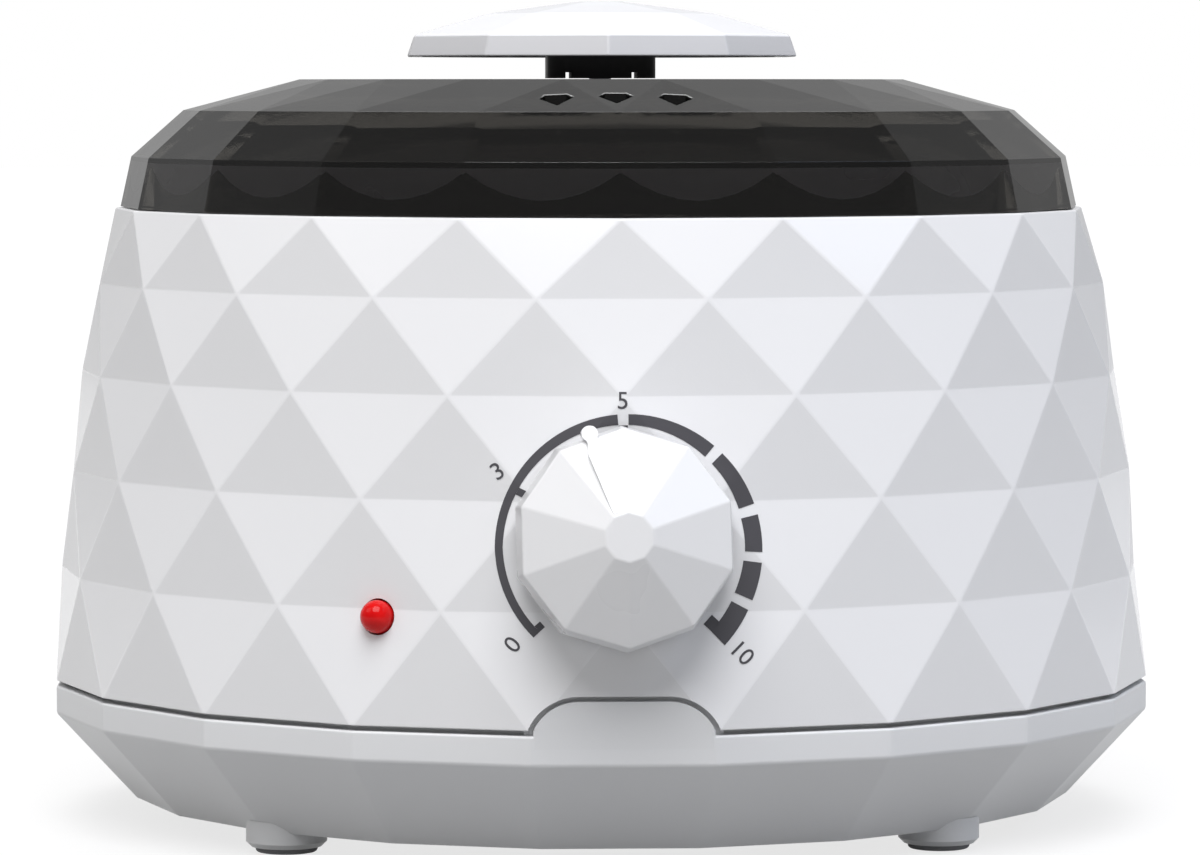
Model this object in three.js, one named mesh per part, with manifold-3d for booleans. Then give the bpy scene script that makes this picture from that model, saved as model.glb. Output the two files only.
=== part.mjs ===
// Electric wax heater: a faceted two-part housing, a heated bowl with a lift-out pot, and a smoked lid.
// Millimetres, +Z up, the front towards -Y. The origin is on the table, under the middle of the whole.

import * as THREE from "three";
import { mergeVertices } from "three/addons/utils/BufferGeometryUtils.js";
import Module from "manifold-3d";

const wasm = await Module();
wasm.setup();

// Counts
const facetColumns = 20;
const gemSides = 10;
const hexSides = 6;
const largeRound = 36;
const mediumRound = 16;
const smallRound = 8;
const wireSides = 8;
const leadSides = 6;
const curveSteps = 4;
const cornerSteps = 3;
const slotSteps = 1;
const beadSteps = 4;
const bailSteps = 14;
const gripSteps = 6;
const leadSteps = 2; // between two points of a lead's route

// Clearances
const seatGap = 0.2; // between two pieces that rest on each other
const fitGap = 0.3; // round a piece in its hole
const overrun = 3; // how far a cutting shape runs past what it cuts
const weldDistance = 0.0005; // corners closer than this are one corner
const betweenColumns = 0.5; // a row turned by half a column

// Faceted housing: rows of corners from the seam up to the rim
const seamRadius = 100;
const seamHeight = 25.5;
const facetedHeight = 85;
const rowRadiusShares = [1, 0.985, 0.967, 0.946, 0.918, 0.884];
const rowHeightShares = [0, 0.231, 0.447, 0.653, 0.843, 1];
const housingWall = 2;
const seamGap = 0.85;

// Deck inside the rim, and the columns that hang from it
const deckDepth = 6.5;
const deckThickness = 2.6;
const ringLand = 17.5; // deck between the bowl and the housing wall
const columnRadius = 4.5;
const ringBossRadius = 3.5;
const ringBossLength = 8;

// Base tray
const bandHeight = 5;
const chamferWidth = 14.6;
const baseClearance = 3.8; // table to the underside of the tray
const lipHeight = 2.5;
const lipThickness = 1.4;
const lipClearance = 0.8;
const tabHeight = 5.9;
const tabFlatWidth = 15.2;
const tabShoulderRadius = 8.4;
const legRadius = 7.05;
const legInset = 5.1; // from the corner circle of the underside to the leg's centre
const legChamfer = 0.8;
const legLift = 1; // table to the end of the leg: what the pad stands proud
const postRadius = 5;
const postGap = 3.4; // from the top of a post to the seam
const ventCount = 6;
const ventWidth = 3;
const ventLength = 20;
const ventCircle = 42;

// Foot pads and base screws
const padRadius = 5.4;
const padRecess = 1.5;
const padPlugLength = 3;
const baseScrewHeadRadius = 3;
const baseScrewHeadHeight = 2;
const baseScrewShankRadius = 1.5;
const baseScrewLength = 20;
const baseScrewBite = 8; // how deep the screw head sits in the post

// Every screw: its tip and slot in shares of its own radii, and its head's rounding in a share of its height
const screwTipShare = 0.6;
const screwSlotShare = 0.5;
const screwEdgeShare = 0.33;

// Bowl, its ring and screws
const bowlWall = 1.2;
const bowlDepth = 64.9; // underside of the flange to the underside of the floor
const bowlCornerRadius = 6;
const bowlFlangeWidth = 8;
const bowlGap = 0.8; // bowl to the hole in the deck
const ringThickness = 3;
const ringCoverThickness = 1.45;
const ringChamfer = 0.8;
const ringScrewHeadRadius = 2.6;
const ringScrewHeadHeight = 1.4;
const ringScrewShankRadius = 1.3;
const ringScrewLength = 9;
const ringScrewInset = 3.2; // from the ring's outer edge
const ringSideGap = 2.6; // ring to the housing wall

// Heater band, its screw, and the thermal fuse
const bandThickness = 2;
const bandOverFloor = 5.7; // underside of the bowl to the band
const bandWidth = 20;
const bandSplit = 8;
const lugThickness = 1.5;
const lugReach = 8;
const lugHeight = 12;
const bandScrewRadius = 1.6;
const bandScrewHeadRadius = 3;
const bandScrewHeadHeight = 2.2;
const bandNutRadius = 3.4;
const bandNutHeight = 2.4;
const heaterTabWidth = 6.3;
const heaterTabThickness = 1;
const heaterTabLength = 8;
const heaterTabAngle = 62; // degrees from the front, on both sides
const fuseRadius = 2.2;
const fuseLength = 13;
const fusePinRadius = 0.6;
const fusePinLength = 3;
const fuseAngle = -96; // degrees from the front
const fuseOverBand = 1; // band to the fuse's body
const clipThickness = 1;
const clipHeight = 8;
const clipSpan = 24; // degrees

// Knob, and the thermostat behind it
const knobHeight = 31.8; // from the seam to the knob's axis at the skin
const knobTilt = 5.6; // degrees that the axis leans up
const pointerRest = 19.4; // degrees anticlockwise from upright
const knobGap = 1.5; // knob to the skin
const knobDepth = 20; // skin to the front flat
const knobShoulder = 12; // skin to the knob's widest corner
const knobCornerRadius = 18.15;
const knobBaseRadius = 18.9;
const knobFlatRadius = 4.1;
const knobWall = 2;
const knobBossRadius = 5;
const knobBossStart = 4.8;
const pointerWidth = 2.6;
const pointerTipRadius = 1.7;
const pointerReach = 19.6; // axis to the centre of the pointer's round tip
const pointerRise = 1.3; // how far the pointer stands above its facet
const pointerTipDepth = 5.5; // skin to the underside of the tip
const pointerInnerReach = 5;
const pointerTaperShare = 0.67; // of the pointer's width, at its inner end
const shaftRadius = 3;
const shaftFlat = 1.2; // how much the flat takes off the shaft
const shaftFit = 0.15;
const shaftInside = 10; // how far the shaft goes in behind the skin
const panelPadRadius = 15;
const panelPadDepth = 3.6; // skin to the inner face of the pad
const spotRadius = 8.5;
const spotDepth = 0.9;
const bushRadius = 4.5;
const bushReach = 2.4; // how far the bush stands out of the skin
const nutHexRadius = 6.9;
const nutThickness = 2.2;
const thermostatWidth = 24;
const thermostatHeight = 28;
const thermostatDepth = 14;
const thermostatCorner = 4;
const bladeWidth = 6.3;
const bladeThickness = 1;
const bladeLength = 7;
const bladeSpacing = 12;

// Indicator lamp
const lampAngle = -24.8; // degrees from the front
const lampHeight = 18.3; // from the seam
const lensRadius = 2.8;
const lensStraight = 0.4;
const lensFlangeRadius = 4.4;
const lensFlangeThickness = 1.2;
const lensTailRadius = 2.4;
const lensTailLength = 3;
const holderRadius = 4.4;
const holderLength = 10;

// Cord gland at the rear
const glandLipRoom = 1.4; // from the tray's lip to the gland's nut or pad
const glandPadRadius = 9.6;
const glandPadRise = 1.2;
const glandFlangeRadius = 8.6;
const glandFlangeThickness = 2.2;
const glandBarrelRadius = 6;
const glandNoseRadius = 4.9;
const glandNoseLength = 6;
const glandBoreRadius = 3.6;
const glandInside = 9; // how far the barrel goes in behind the skin
const glandNutRadius = 9.2;
const glandNutThickness = 3.5;
const glandPadInside = 4.2; // skin to the inner face of the pad

// Terminal block and inner leads
const blockWidth = 30;
const blockDepth = 15;
const blockHeight = 12;
const blockCorner = 1.2;
const blockPlace = 40; // from the middle towards the rear
const blockPitch = 10;
const blockHoleDepth = 5;
const blockScrewRadius = 2.2;
const leadRadius = 1.1;
const leadRise = 7; // how far a lead runs straight out of what it joins
const leadFloorGaps = [3.4, 4.4]; // tray to the leads that cross under the bowl
const leadBandGap = 2.5; // heater band to the middle of a lead that runs round it
const leadDrop = 11.3; // underside of the bowl to the lead that runs round it
const lampLeadShare = 0.5; // where the lamp's lead turns up: from its bend at the lamp to the lamp
const leadFusedShares = [0.909, 0.565, 0.162]; // of the height from the band's tab to the fuse

// Lid: rings of corners from the rim up to the flat top
const lidRimInset = 0.9; // from the housing's rim corner to the lid's lower corner
const lidHeights = [0, 9.1, 17.5, 23.1];
const lidInsets = [0, 2, 11.5, 32.1];
const lidWall = 2.3;
const skirtDepth = 3;
const skirtThickness = 1.5;
const ventSpacing = 10.2;
const ventBackReach = 64; // axis to the long side of a lid vent
const gemVentWidth = 5.8;
const gemVentLength = 6.1;
const gemTableShare = 0.63;
const gemGirdleShare = 0.29;

// Handle
const neckWidth = 19.7;
const neckDepth = 15;
const neckCorner = 2;
const neckShow = 4.1; // from the lid's flat top to the underside of the cap
const neckInCap = 2.8;
const notchWidth = 1.1;
const notchHeight = 1.3;
const notchPlace = 6; // from the middle to each notch
const capRadii = [37, 35.6, 21.6, 4];
const capHeights = [0, 3.95, 7.8, 10.1];
const capWall = 2.1;
const capBossRadius = 8;
const handleScrewRadius = 2;
const handleScrewHeadRadius = 3.8;
const handleScrewHeadHeight = 2.4;
const handleScrewLength = 13;
const washerRadius = 7;
const washerThickness = 1.2;

// Pot, ears and bail
const potGap = 1.5; // pot to bowl
const potWall = 1;
const potBottomGap = 1.9; // pot to the floor of the bowl
const potCornerRadius = 8;
const potFlangeWidth = 11;
const potFlangeThickness = 1.2;
const potBeadRadius = 1.3;
const beadTurnShare = 0.8; // of a full turn
const earThickness = 1.5;
const earFootRoom = 1; // from the ear's foot to the flange's bead
const earWidth = 12;
const earFootThickness = 1.2;
const pivotRise = 6; // from the top of the flange to the bail's pivot
const bailWireRadius = 1.6;
const bailPlay = 0.5; // wire to the hole in the ear
const bailBend = 2.8; // radius of the bend outside each ear
const bailSideRoom = 1.6; // from the ear to the start of the bend
const bailEndInside = 3;
const rivetRadius = 1.4;
const rivetHeadRadius = 2.2;
const rivetHeadHeight = 0.9;
const gripRadius = 3.4;
const gripHalfAngle = 20; // degrees

// Finishes: colour, roughness, metalness
const whiteGloss = { color: 0xf0f0f0, roughness: 0.28, metalness: 0 };
const whiteShade = { color: 0xe2e3e2, roughness: 0.34, metalness: 0 };
const smoke = { color: 0x24221f, roughness: 0.12, metalness: 0, transparent: true, opacity: 0.85 };
const blackPlastic = { color: 0x17171a, roughness: 0.45, metalness: 0 };
const redLens = { color: 0xc8171b, roughness: 0.12, metalness: 0 };
const aluminium = { color: 0xb9bcbf, roughness: 0.38, metalness: 0.95 };
const steel = { color: 0x9a9da0, roughness: 0.3, metalness: 0.95 };
const brass = { color: 0xb79a52, roughness: 0.35, metalness: 0.9 };
const rubber = { color: 0x8f9093, roughness: 0.85, metalness: 0 };
const mica = { color: 0xa88d62, roughness: 0.7, metalness: 0 };
const ceramic = { color: 0xe8e4da, roughness: 0.6, metalness: 0 };
const brownLead = { color: 0x6b3f1d, roughness: 0.55, metalness: 0 };
const blueLead = { color: 0x2451a6, roughness: 0.55, metalness: 0 };
const redLead = { color: 0xa8281e, roughness: 0.6, metalness: 0 };

// Angles
const rightAngle = Math.PI / 2;
const fullTurn = 2 * Math.PI;
const facetTurn = fullTurn / facetColumns;
const inRadians = THREE.MathUtils.degToRad;

// A closed geometry as a solid that can be joined and cut.
function solidFrom(geometry) {
  const bare = new THREE.BufferGeometry();
  bare.setAttribute("position", geometry.getAttribute("position"));
  bare.setIndex(geometry.getIndex());
  const welded = mergeVertices(bare, weldDistance);
  const corners = Array.from(welded.getIndex().array);
  const kept = [];
  for (let i = 0; i < corners.length; i += 3) {
    const [a, b, c] = corners.slice(i, i + 3);
    if (a !== b && b !== c && c !== a) kept.push(a, b, c);
  }
  const vertProperties = new Float32Array(welded.getAttribute("position").array);
  const triVerts = new Uint32Array(kept);
  return new wasm.Manifold(new wasm.Mesh({ numProp: 3, vertProperties, triVerts }));
}

// A solid as a flat-shaded geometry.
function geometryFrom(solid) {
  const { vertProperties, triVerts } = solid.getMesh();
  const shared = new THREE.BufferGeometry();
  shared.setAttribute("position", new THREE.BufferAttribute(new Float32Array(vertProperties), 3));
  shared.setIndex(new THREE.BufferAttribute(new Uint32Array(triVerts), 1));
  const flat = shared.toNonIndexed();
  flat.computeVertexNormals();
  return flat;
}

// A named mesh with a material of its own, added to the group that carries it.
function addPiece(carrier, name, solid, finish) {
  const mesh = new THREE.Mesh(geometryFrom(solid), new THREE.MeshStandardMaterial(finish));
  mesh.name = name;
  carrier.add(mesh);
  return mesh;
}

// The same solid at another place.
function moved(solid, x, y, z) {
  return solidFrom(geometryFrom(solid).translate(x, y, z));
}

// A solid from a group's own frame, in the frame of what carries the group.
function carriedBy(solid, group) {
  group.updateMatrix();
  return solidFrom(geometryFrom(solid).applyMatrix4(group.matrix));
}

function joined(solids) {
  return solids.reduce((sum, next) => sum.add(next));
}

function cut(solid, tools) {
  return tools.reduce((left, tool) => left.subtract(tool), solid);
}

// A point at a distance from the axis; angle 0 is the front and +90 degrees the right.
function around(radius, angle) {
  return { x: radius * Math.sin(angle), y: -radius * Math.cos(angle) };
}

// A drum or prism on the Z axis, with a corner towards the front.
function drum(radius, bottom, top, sides = mediumRound, topRadius = radius) {
  const geometry = new THREE.CylinderGeometry(topRadius, radius, top - bottom, sides);
  return solidFrom(geometry.rotateX(rightAngle).translate(0, 0, (top + bottom) / 2));
}

// A solid of revolution about Z from a closed outline of [radius, height].
function turned(outline, sides = mediumRound) {
  const points = [...outline, outline[0]].map(([radius, height]) => new THREE.Vector2(radius, height));
  return solidFrom(new THREE.LatheGeometry(points, sides).rotateX(rightAngle));
}

// A flat outline in X and Y, raised between two heights.
function raised(shape, bottom, top) {
  const options = { depth: top - bottom, bevelEnabled: false, curveSegments: curveSteps };
  return solidFrom(new THREE.ExtrudeGeometry(shape, options).translate(0, 0, bottom));
}

// A block between two corners.
function block(low, high) {
  const size = high.map((value, i) => value - low[i]);
  const middle = high.map((value, i) => (value + low[i]) / 2);
  return solidFrom(new THREE.BoxGeometry(...size).translate(...middle));
}

// An outline with round corners, centred on the axis.
function roundedOutline(width, depth, corner) {
  const x = width / 2;
  const y = depth / 2;
  const shape = new THREE.Shape();
  shape.absarc(x - corner, y - corner, corner, 0, rightAngle, false);
  shape.absarc(corner - x, y - corner, corner, rightAngle, 2 * rightAngle, false);
  shape.absarc(corner - x, corner - y, corner, 2 * rightAngle, 3 * rightAngle, false);
  shape.absarc(x - corner, corner - y, corner, 3 * rightAngle, fullTurn, false);
  shape.closePath();
  return shape;
}

// A smooth curve through listed points, each of which gets an equal share of the sweep's steps.
class Route extends THREE.CatmullRomCurve3 {
  getUtoTmapping(share) {
    return share;
  }
}

// A round section swept along a path.
function swept(path, radius, steps, sides = wireSides, bore = 0) {
  const section = new THREE.Shape();
  section.absarc(0, 0, radius, 0, fullTurn, false);
  if (bore > 0) {
    const hole = new THREE.Path();
    hole.absarc(0, 0, bore, 0, fullTurn, true);
    section.holes.push(hole);
  }
  const options = { extrudePath: path, steps, curveSegments: sides / 2, bevelEnabled: false };
  return solidFrom(new THREE.ExtrudeGeometry(section, options));
}

// A closed solid skinned between rows of corners. Two rows whose corners stand in the same columns
// are joined by flat bands, and two rows half a column apart by a ring of raised triangles.
function faceted(rows, columns) {
  const turn = fullTurn / columns;
  const points = [];
  rows.forEach(({ radius, height, shift }) => {
    for (let column = 0; column < columns; column += 1) {
      const { x, y } = around(radius, (column + shift) * turn);
      points.push(x, y, height);
    }
  });
  const corner = (row, column) => row * columns + ((column + columns) % columns);
  const faces = [];
  for (let row = 0; row + 1 < rows.length; row += 1) {
    const step = rows[row + 1].shift - rows[row].shift;
    for (let column = 0; column < columns; column += 1) {
      const right = corner(row, column + 1);
      const above = corner(row + 1, step < 0 ? column + 1 : column);
      const aboveLeft = corner(row + 1, step < 0 ? column : column - 1);
      faces.push(corner(row, column), right, above);
      faces.push(corner(row, column), above, aboveLeft);
    }
  }
  const top = rows.length - 1;
  for (let column = 1; column + 1 < columns; column += 1) {
    faces.push(corner(0, 0), corner(0, column + 1), corner(0, column));
    faces.push(corner(top, 0), corner(top, column), corner(top, column + 1));
  }
  const geometry = new THREE.BufferGeometry();
  geometry.setAttribute("position", new THREE.Float32BufferAttribute(points, 3));
  geometry.setIndex(faces);
  return solidFrom(geometry);
}

// Rows moved in by a wall, each corner along the line that halves the slopes beside it.
// The first row is carried down by the overrun, so that the hollow opens below.
function hollowRows(rows, wall, sides) {
  const flatness = Math.cos(fullTurn / sides / 2);
  const inner = rows.map((row, i) => {
    const below = rows[i - 1] ?? { radius: row.radius, height: row.height - wall };
    const above = rows[i + 1] ?? { radius: 0, height: row.height };
    const lower = new THREE.Vector2(row.height - below.height, below.radius - row.radius).normalize();
    const upper = new THREE.Vector2(above.height - row.height, row.radius - above.radius).normalize();
    const share = wall / (1 + lower.dot(upper));
    const side = lower.add(upper).multiplyScalar(share);
    return { ...row, radius: row.radius - side.x / flatness, height: row.height - side.y };
  });
  return [{ ...inner[0], height: rows[0].height - overrun }, ...inner];
}

const heater = new THREE.Group();

// Places that several pieces share
const rimHeight = seamHeight + facetedHeight;
const rimRadius = seamRadius * rowRadiusShares.at(-1);
const columnFlatness = Math.cos(facetTurn / 2);
const rimInside = (rimRadius - housingWall) * columnFlatness;
const deckTop = rimHeight - deckDepth;
const deckUnderside = deckTop - deckThickness;
const ringRadius = rimInside - ringSideGap;
const bowlRadius = rimInside - ringLand - bowlGap;
const bowlInside = bowlRadius - bowlWall;
const bowlTop = deckTop + seatGap;
const flangeRadius = bowlRadius + bowlFlangeWidth;
const ringTop = bowlTop + ringThickness;
const bowlFloor = bowlTop - bowlDepth;
const bandBottom = bowlFloor + bandOverFloor;
const fuseBottom = bandBottom + bandWidth + fuseOverBand - fusePinLength;
const baseRadius = seamRadius - chamferWidth;
const bandTop = seamHeight - seamGap;
const bandFoot = bandTop - bandHeight;
const floorTop = baseClearance + housingWall;
const legCircle = baseRadius - legInset;
const legAngles = [-45, 45, 135, -135].map(inRadians);
const legNames = ["front_left", "front_right", "rear_right", "rear_left"];
const postTop = seamHeight - postGap;
const ringScrewCircle = ringRadius - ringScrewInset;
const ringScrewAngles = [0, 90, 180, 270].map(inRadians);
const ringScrewNames = ["front", "right", "rear", "left"];

const housingRows = rowRadiusShares.map((share, i) => ({
  radius: share * seamRadius,
  height: seamHeight + rowHeightShares[i] * facetedHeight,
  shift: i % 2 === 0 ? betweenColumns : 0,
}));
const housingSkin = faceted(housingRows, facetColumns);
const skinMesh = new THREE.Mesh(geometryFrom(housingSkin));

// The point and direction of the skin at an angle from the front and a height above the seam.
function skinAt(angle, height) {
  const { x, y } = around(2 * seamRadius, angle);
  const start = new THREE.Vector3(x, y, seamHeight + height);
  const inwards = new THREE.Vector3(-x, -y, 0).normalize();
  const [hit] = new THREE.Raycaster(start, inwards).intersectObject(skinMesh);
  return { point: hit.point, normal: hit.face.normal };
}

// A group on the skin, whose own Z axis points straight out of it.
function groupOnSkin(angle, height) {
  const { point, normal } = skinAt(angle, height);
  const group = new THREE.Group();
  group.position.copy(point);
  const sideways = new THREE.Vector3(0, 0, 1).cross(normal).normalize();
  const upwards = normal.clone().cross(sideways);
  group.quaternion.setFromRotationMatrix(new THREE.Matrix4().makeBasis(sideways, upwards, normal));
  heater.add(group);
  return group;
}

// The knob's group leans by its own tilt, because its facets lean by different amounts.
const dial = groupOnSkin(0, knobHeight);
dial.rotation.set(rightAngle - inRadians(knobTilt), 0, 0);
const lamp = groupOnSkin(inRadians(lampAngle), lampHeight);
const glandHeight = lipHeight + glandLipRoom + Math.max(glandNutRadius, glandPadRadius);
const gland = groupOnSkin(2 * rightAngle, glandHeight);

// The front tab's outline, grown outwards by a gap; height 0 is the seam.
function tabOutline(growth, foot) {
  const shoulder = tabShoulderRadius + growth;
  const centreX = tabFlatWidth / 2;
  const centreZ = tabHeight - tabShoulderRadius;
  const endAngle = Math.asin(Math.min(1, -centreZ / tabShoulderRadius));
  const halfWidth = centreX + shoulder * Math.cos(endAngle);
  const shape = new THREE.Shape();
  shape.moveTo(-halfWidth, foot);
  shape.lineTo(halfWidth, foot);
  shape.absarc(centreX, centreZ, shoulder, endAngle, rightAngle, false);
  shape.absarc(-centreX, centreZ, shoulder, rightAngle, 2 * rightAngle - endAngle, false);
  shape.closePath();
  return shape;
}

// The front tab as an upright plate between two distances in front of the axis.
function tabPlate(growth, foot, near, far) {
  const options = { depth: far - near, bevelEnabled: false, curveSegments: curveSteps };
  const plate = new THREE.ExtrudeGeometry(tabOutline(growth, foot), options);
  return solidFrom(plate.rotateX(rightAngle).translate(0, -near, seamHeight));
}

function makeUpperHousing() {
  const inner = housingRows.map((row) => ({ ...row, radius: row.radius - housingWall }));
  const first = { ...inner[0], height: seamHeight - overrun };
  const last = { ...inner.at(-1), height: rimHeight + overrun };
  const shell = housingSkin.subtract(faceted([first, ...inner, last], facetColumns));
  const inWall = housingRows.map((row) => ({ ...row, radius: row.radius - housingWall / 2 }));
  const slab = drum(2 * seamRadius, deckUnderside, deckTop, smallRound);
  const deck = slab.intersect(faceted(inWall, facetColumns));
  const parts = [shell, deck];
  legAngles.forEach((angle) => {
    const { x, y } = around(legCircle, angle);
    parts.push(moved(drum(columnRadius, postTop + fitGap, deckUnderside + seatGap), x, y, 0));
  });
  ringScrewAngles.forEach((angle) => {
    const { x, y } = around(ringScrewCircle, angle);
    const bottom = deckUnderside - ringBossLength;
    parts.push(moved(drum(ringBossRadius, bottom, deckUnderside + seatGap, smallRound), x, y, 0));
  });
  parts.push(carriedBy(drum(panelPadRadius, -panelPadDepth, -housingWall / 2), dial));
  parts.push(carriedBy(drum(glandPadRadius, -glandPadInside, glandPadRise), gland));

  const tools = [drum(bowlRadius + bowlGap, deckUnderside - overrun, deckTop + overrun, largeRound)];
  legAngles.forEach((angle) => {
    const { x, y } = around(legCircle, angle);
    const top = postTop + baseScrewLength;
    const shankHole = drum(baseScrewShankRadius + seatGap, postTop - overrun, top, smallRound);
    tools.push(moved(shankHole, x, y, 0));
  });
  ringScrewAngles.forEach((angle) => {
    const { x, y } = around(ringScrewCircle, angle);
    const bottom = deckUnderside - ringBossLength - overrun;
    tools.push(moved(drum(ringScrewShankRadius + seatGap, bottom, deckTop + overrun, smallRound), x, y, 0));
  });
  tools.push(carriedBy(drum(bushRadius + fitGap, -panelPadDepth - overrun, overrun), dial));
  tools.push(carriedBy(drum(spotRadius, -spotDepth, overrun), dial));
  tools.push(carriedBy(drum(lensRadius + fitGap, -overrun, overrun, mediumRound), lamp));
  const glandCut = drum(glandBarrelRadius + fitGap, -glandPadInside - overrun, glandPadRise + overrun);
  tools.push(carriedBy(glandCut, gland));
  const wallFront = seamRadius * columnFlatness;
  tools.push(tabPlate(seamGap, -overrun, wallFront - housingWall - overrun, wallFront + overrun));
  return cut(joined(parts), tools);
}

function makeLowerHousing() {
  const corner = { shift: betweenColumns };
  const outer = faceted(
    [
      { ...corner, radius: baseRadius, height: baseClearance },
      { ...corner, radius: seamRadius, height: bandFoot },
      { ...corner, radius: seamRadius, height: bandTop },
    ],
    facetColumns,
  );
  const inner = faceted(
    [
      { ...corner, radius: baseRadius - housingWall, height: floorTop },
      { ...corner, radius: seamRadius - housingWall, height: bandFoot + housingWall / 2 },
      { ...corner, radius: seamRadius - housingWall, height: bandTop + overrun },
    ],
    facetColumns,
  );
  const lipRadius = seamRadius - housingWall - lipClearance;
  const lipTop = seamHeight + lipHeight;
  const lipShape = (radius, bottom, top) =>
    faceted([{ ...corner, radius, height: bottom }, { ...corner, radius, height: top }], facetColumns);
  const lipBase = lipShape(seamRadius - housingWall / 2, bandFoot + housingWall, bandTop - seatGap);
  const lip = joined([lipBase, lipShape(lipRadius, bandFoot + housingWall, lipTop)]);
  const lipHole = lipShape(lipRadius - lipThickness, bandFoot, lipTop + overrun);

  const wallFront = seamRadius * columnFlatness;
  const tabDepth = housingWall + lipClearance + lipThickness / 2;
  const parts = [outer.subtract(inner), lip.subtract(lipHole)];
  parts.push(tabPlate(0, -seamGap - bandHeight / 2, wallFront - tabDepth, wallFront));
  const leg = drum(legRadius, legLift + legChamfer, floorTop);
  const legEnd = drum(legRadius - legChamfer, legLift, legLift + legChamfer, mediumRound, legRadius);
  const post = drum(postRadius, floorTop - seatGap, postTop);
  const legPadHole = drum(padRadius + seatGap, legLift - overrun, legLift + padRecess);
  const headHole = drum(baseScrewHeadRadius + fitGap, legLift, baseScrewBite);
  const shankHole = drum(baseScrewShankRadius + seatGap, legLift, postTop + overrun, smallRound);
  const tools = [];
  legAngles.forEach((angle) => {
    const { x, y } = around(legCircle, angle);
    parts.push(...[leg, legEnd, post].map((solid) => moved(solid, x, y, 0)));
    tools.push(...[legPadHole, headHole, shankHole].map((solid) => moved(solid, x, y, 0)));
  });
  for (let i = 0; i < ventCount; i += 1) {
    const slot = roundedOutline(ventWidth, ventLength, ventWidth / 2 - seatGap);
    const upright = new THREE.ExtrudeGeometry(slot, {
      depth: housingWall + 2 * overrun,
      bevelEnabled: false,
      curveSegments: slotSteps,
    });
    const bottom = baseClearance - overrun;
    upright.translate(0, ventCircle, bottom).rotateZ((i * fullTurn) / ventCount);
    tools.push(solidFrom(upright));
  }
  return cut(joined(parts), tools);
}

function makeScrew(headRadius, headHeight, shankRadius, length) {
  const rounding = headHeight * screwEdgeShare;
  const outline = [
    [0, -length],
    [shankRadius * screwTipShare, -length],
    [shankRadius, -length + shankRadius],
    [shankRadius, 0],
    [headRadius, 0],
    [headRadius, headHeight - rounding],
    [headRadius - rounding, headHeight],
    [0, headHeight],
  ];
  const slot = block(
    [-headRadius * screwSlotShare, -rounding / 2, headHeight - rounding],
    [headRadius * screwSlotShare, rounding / 2, headHeight + overrun],
  );
  return turned(outline, smallRound).subtract(slot);
}

function makeFootPad() {
  return turned([
    [0, 0],
    [padRadius - legChamfer / 2, 0],
    [padRadius, legChamfer / 2],
    [padRadius, legLift + padRecess - seatGap],
    [baseScrewHeadRadius, legLift + padRecess - seatGap],
    [baseScrewHeadRadius, legLift + padPlugLength],
    [0, legLift + padPlugLength],
  ]);
}

function makeBowl() {
  const corner = (radius, inset) => {
    const points = [];
    for (let i = 0; i <= cornerSteps; i += 1) {
      const angle = (i / cornerSteps) * rightAngle;
      const x = bowlRadius - inset - radius + radius * Math.sin(angle);
      points.push([x, bowlFloor + inset + radius - radius * Math.cos(angle)]);
    }
    return points;
  };
  return turned(
    [
      [0, bowlFloor],
      ...corner(bowlCornerRadius, 0),
      [bowlRadius, bowlTop],
      [flangeRadius, bowlTop],
      [flangeRadius, bowlTop + bowlWall],
      [bowlInside, bowlTop + bowlWall],
      ...corner(bowlCornerRadius - bowlWall, bowlWall).reverse(),
      [0, bowlFloor + bowlWall],
    ],
    largeRound,
  );
}

function makeBowlRing() {
  const coverBottom = ringTop - ringCoverThickness + seatGap;
  const ring = turned(
    [
      [flangeRadius + fitGap, bowlTop],
      [ringRadius, bowlTop],
      [ringRadius, ringTop - ringChamfer],
      [ringRadius - ringChamfer, ringTop],
      [bowlInside + ringChamfer, ringTop],
      [bowlInside, ringTop - ringChamfer],
      [bowlInside, coverBottom],
      [flangeRadius + fitGap, coverBottom],
    ],
    largeRound,
  );
  const tools = ringScrewAngles.flatMap((angle) => {
    const { x, y } = around(ringScrewCircle, angle);
    const headBottom = ringTop - ringScrewHeadHeight;
    const head = drum(ringScrewHeadRadius + fitGap, headBottom, ringTop + overrun, smallRound);
    const shank = drum(ringScrewShankRadius + seatGap, bowlTop - overrun, ringTop, smallRound);
    return [moved(head, x, y, 0), moved(shank, x, y, 0)];
  });
  return cut(ring, tools);
}

// The band goes round the bowl, open at the rear, with two lugs that a screw draws together.
const bandInside = bowlRadius + fitGap;
const bandOutside = bandInside + bandThickness;
const lugMiddle = bandBottom + bandWidth / 2;
const lugScrewReach = bandOutside + Math.max(bandScrewHeadRadius, bandNutRadius) + fitGap;

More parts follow.
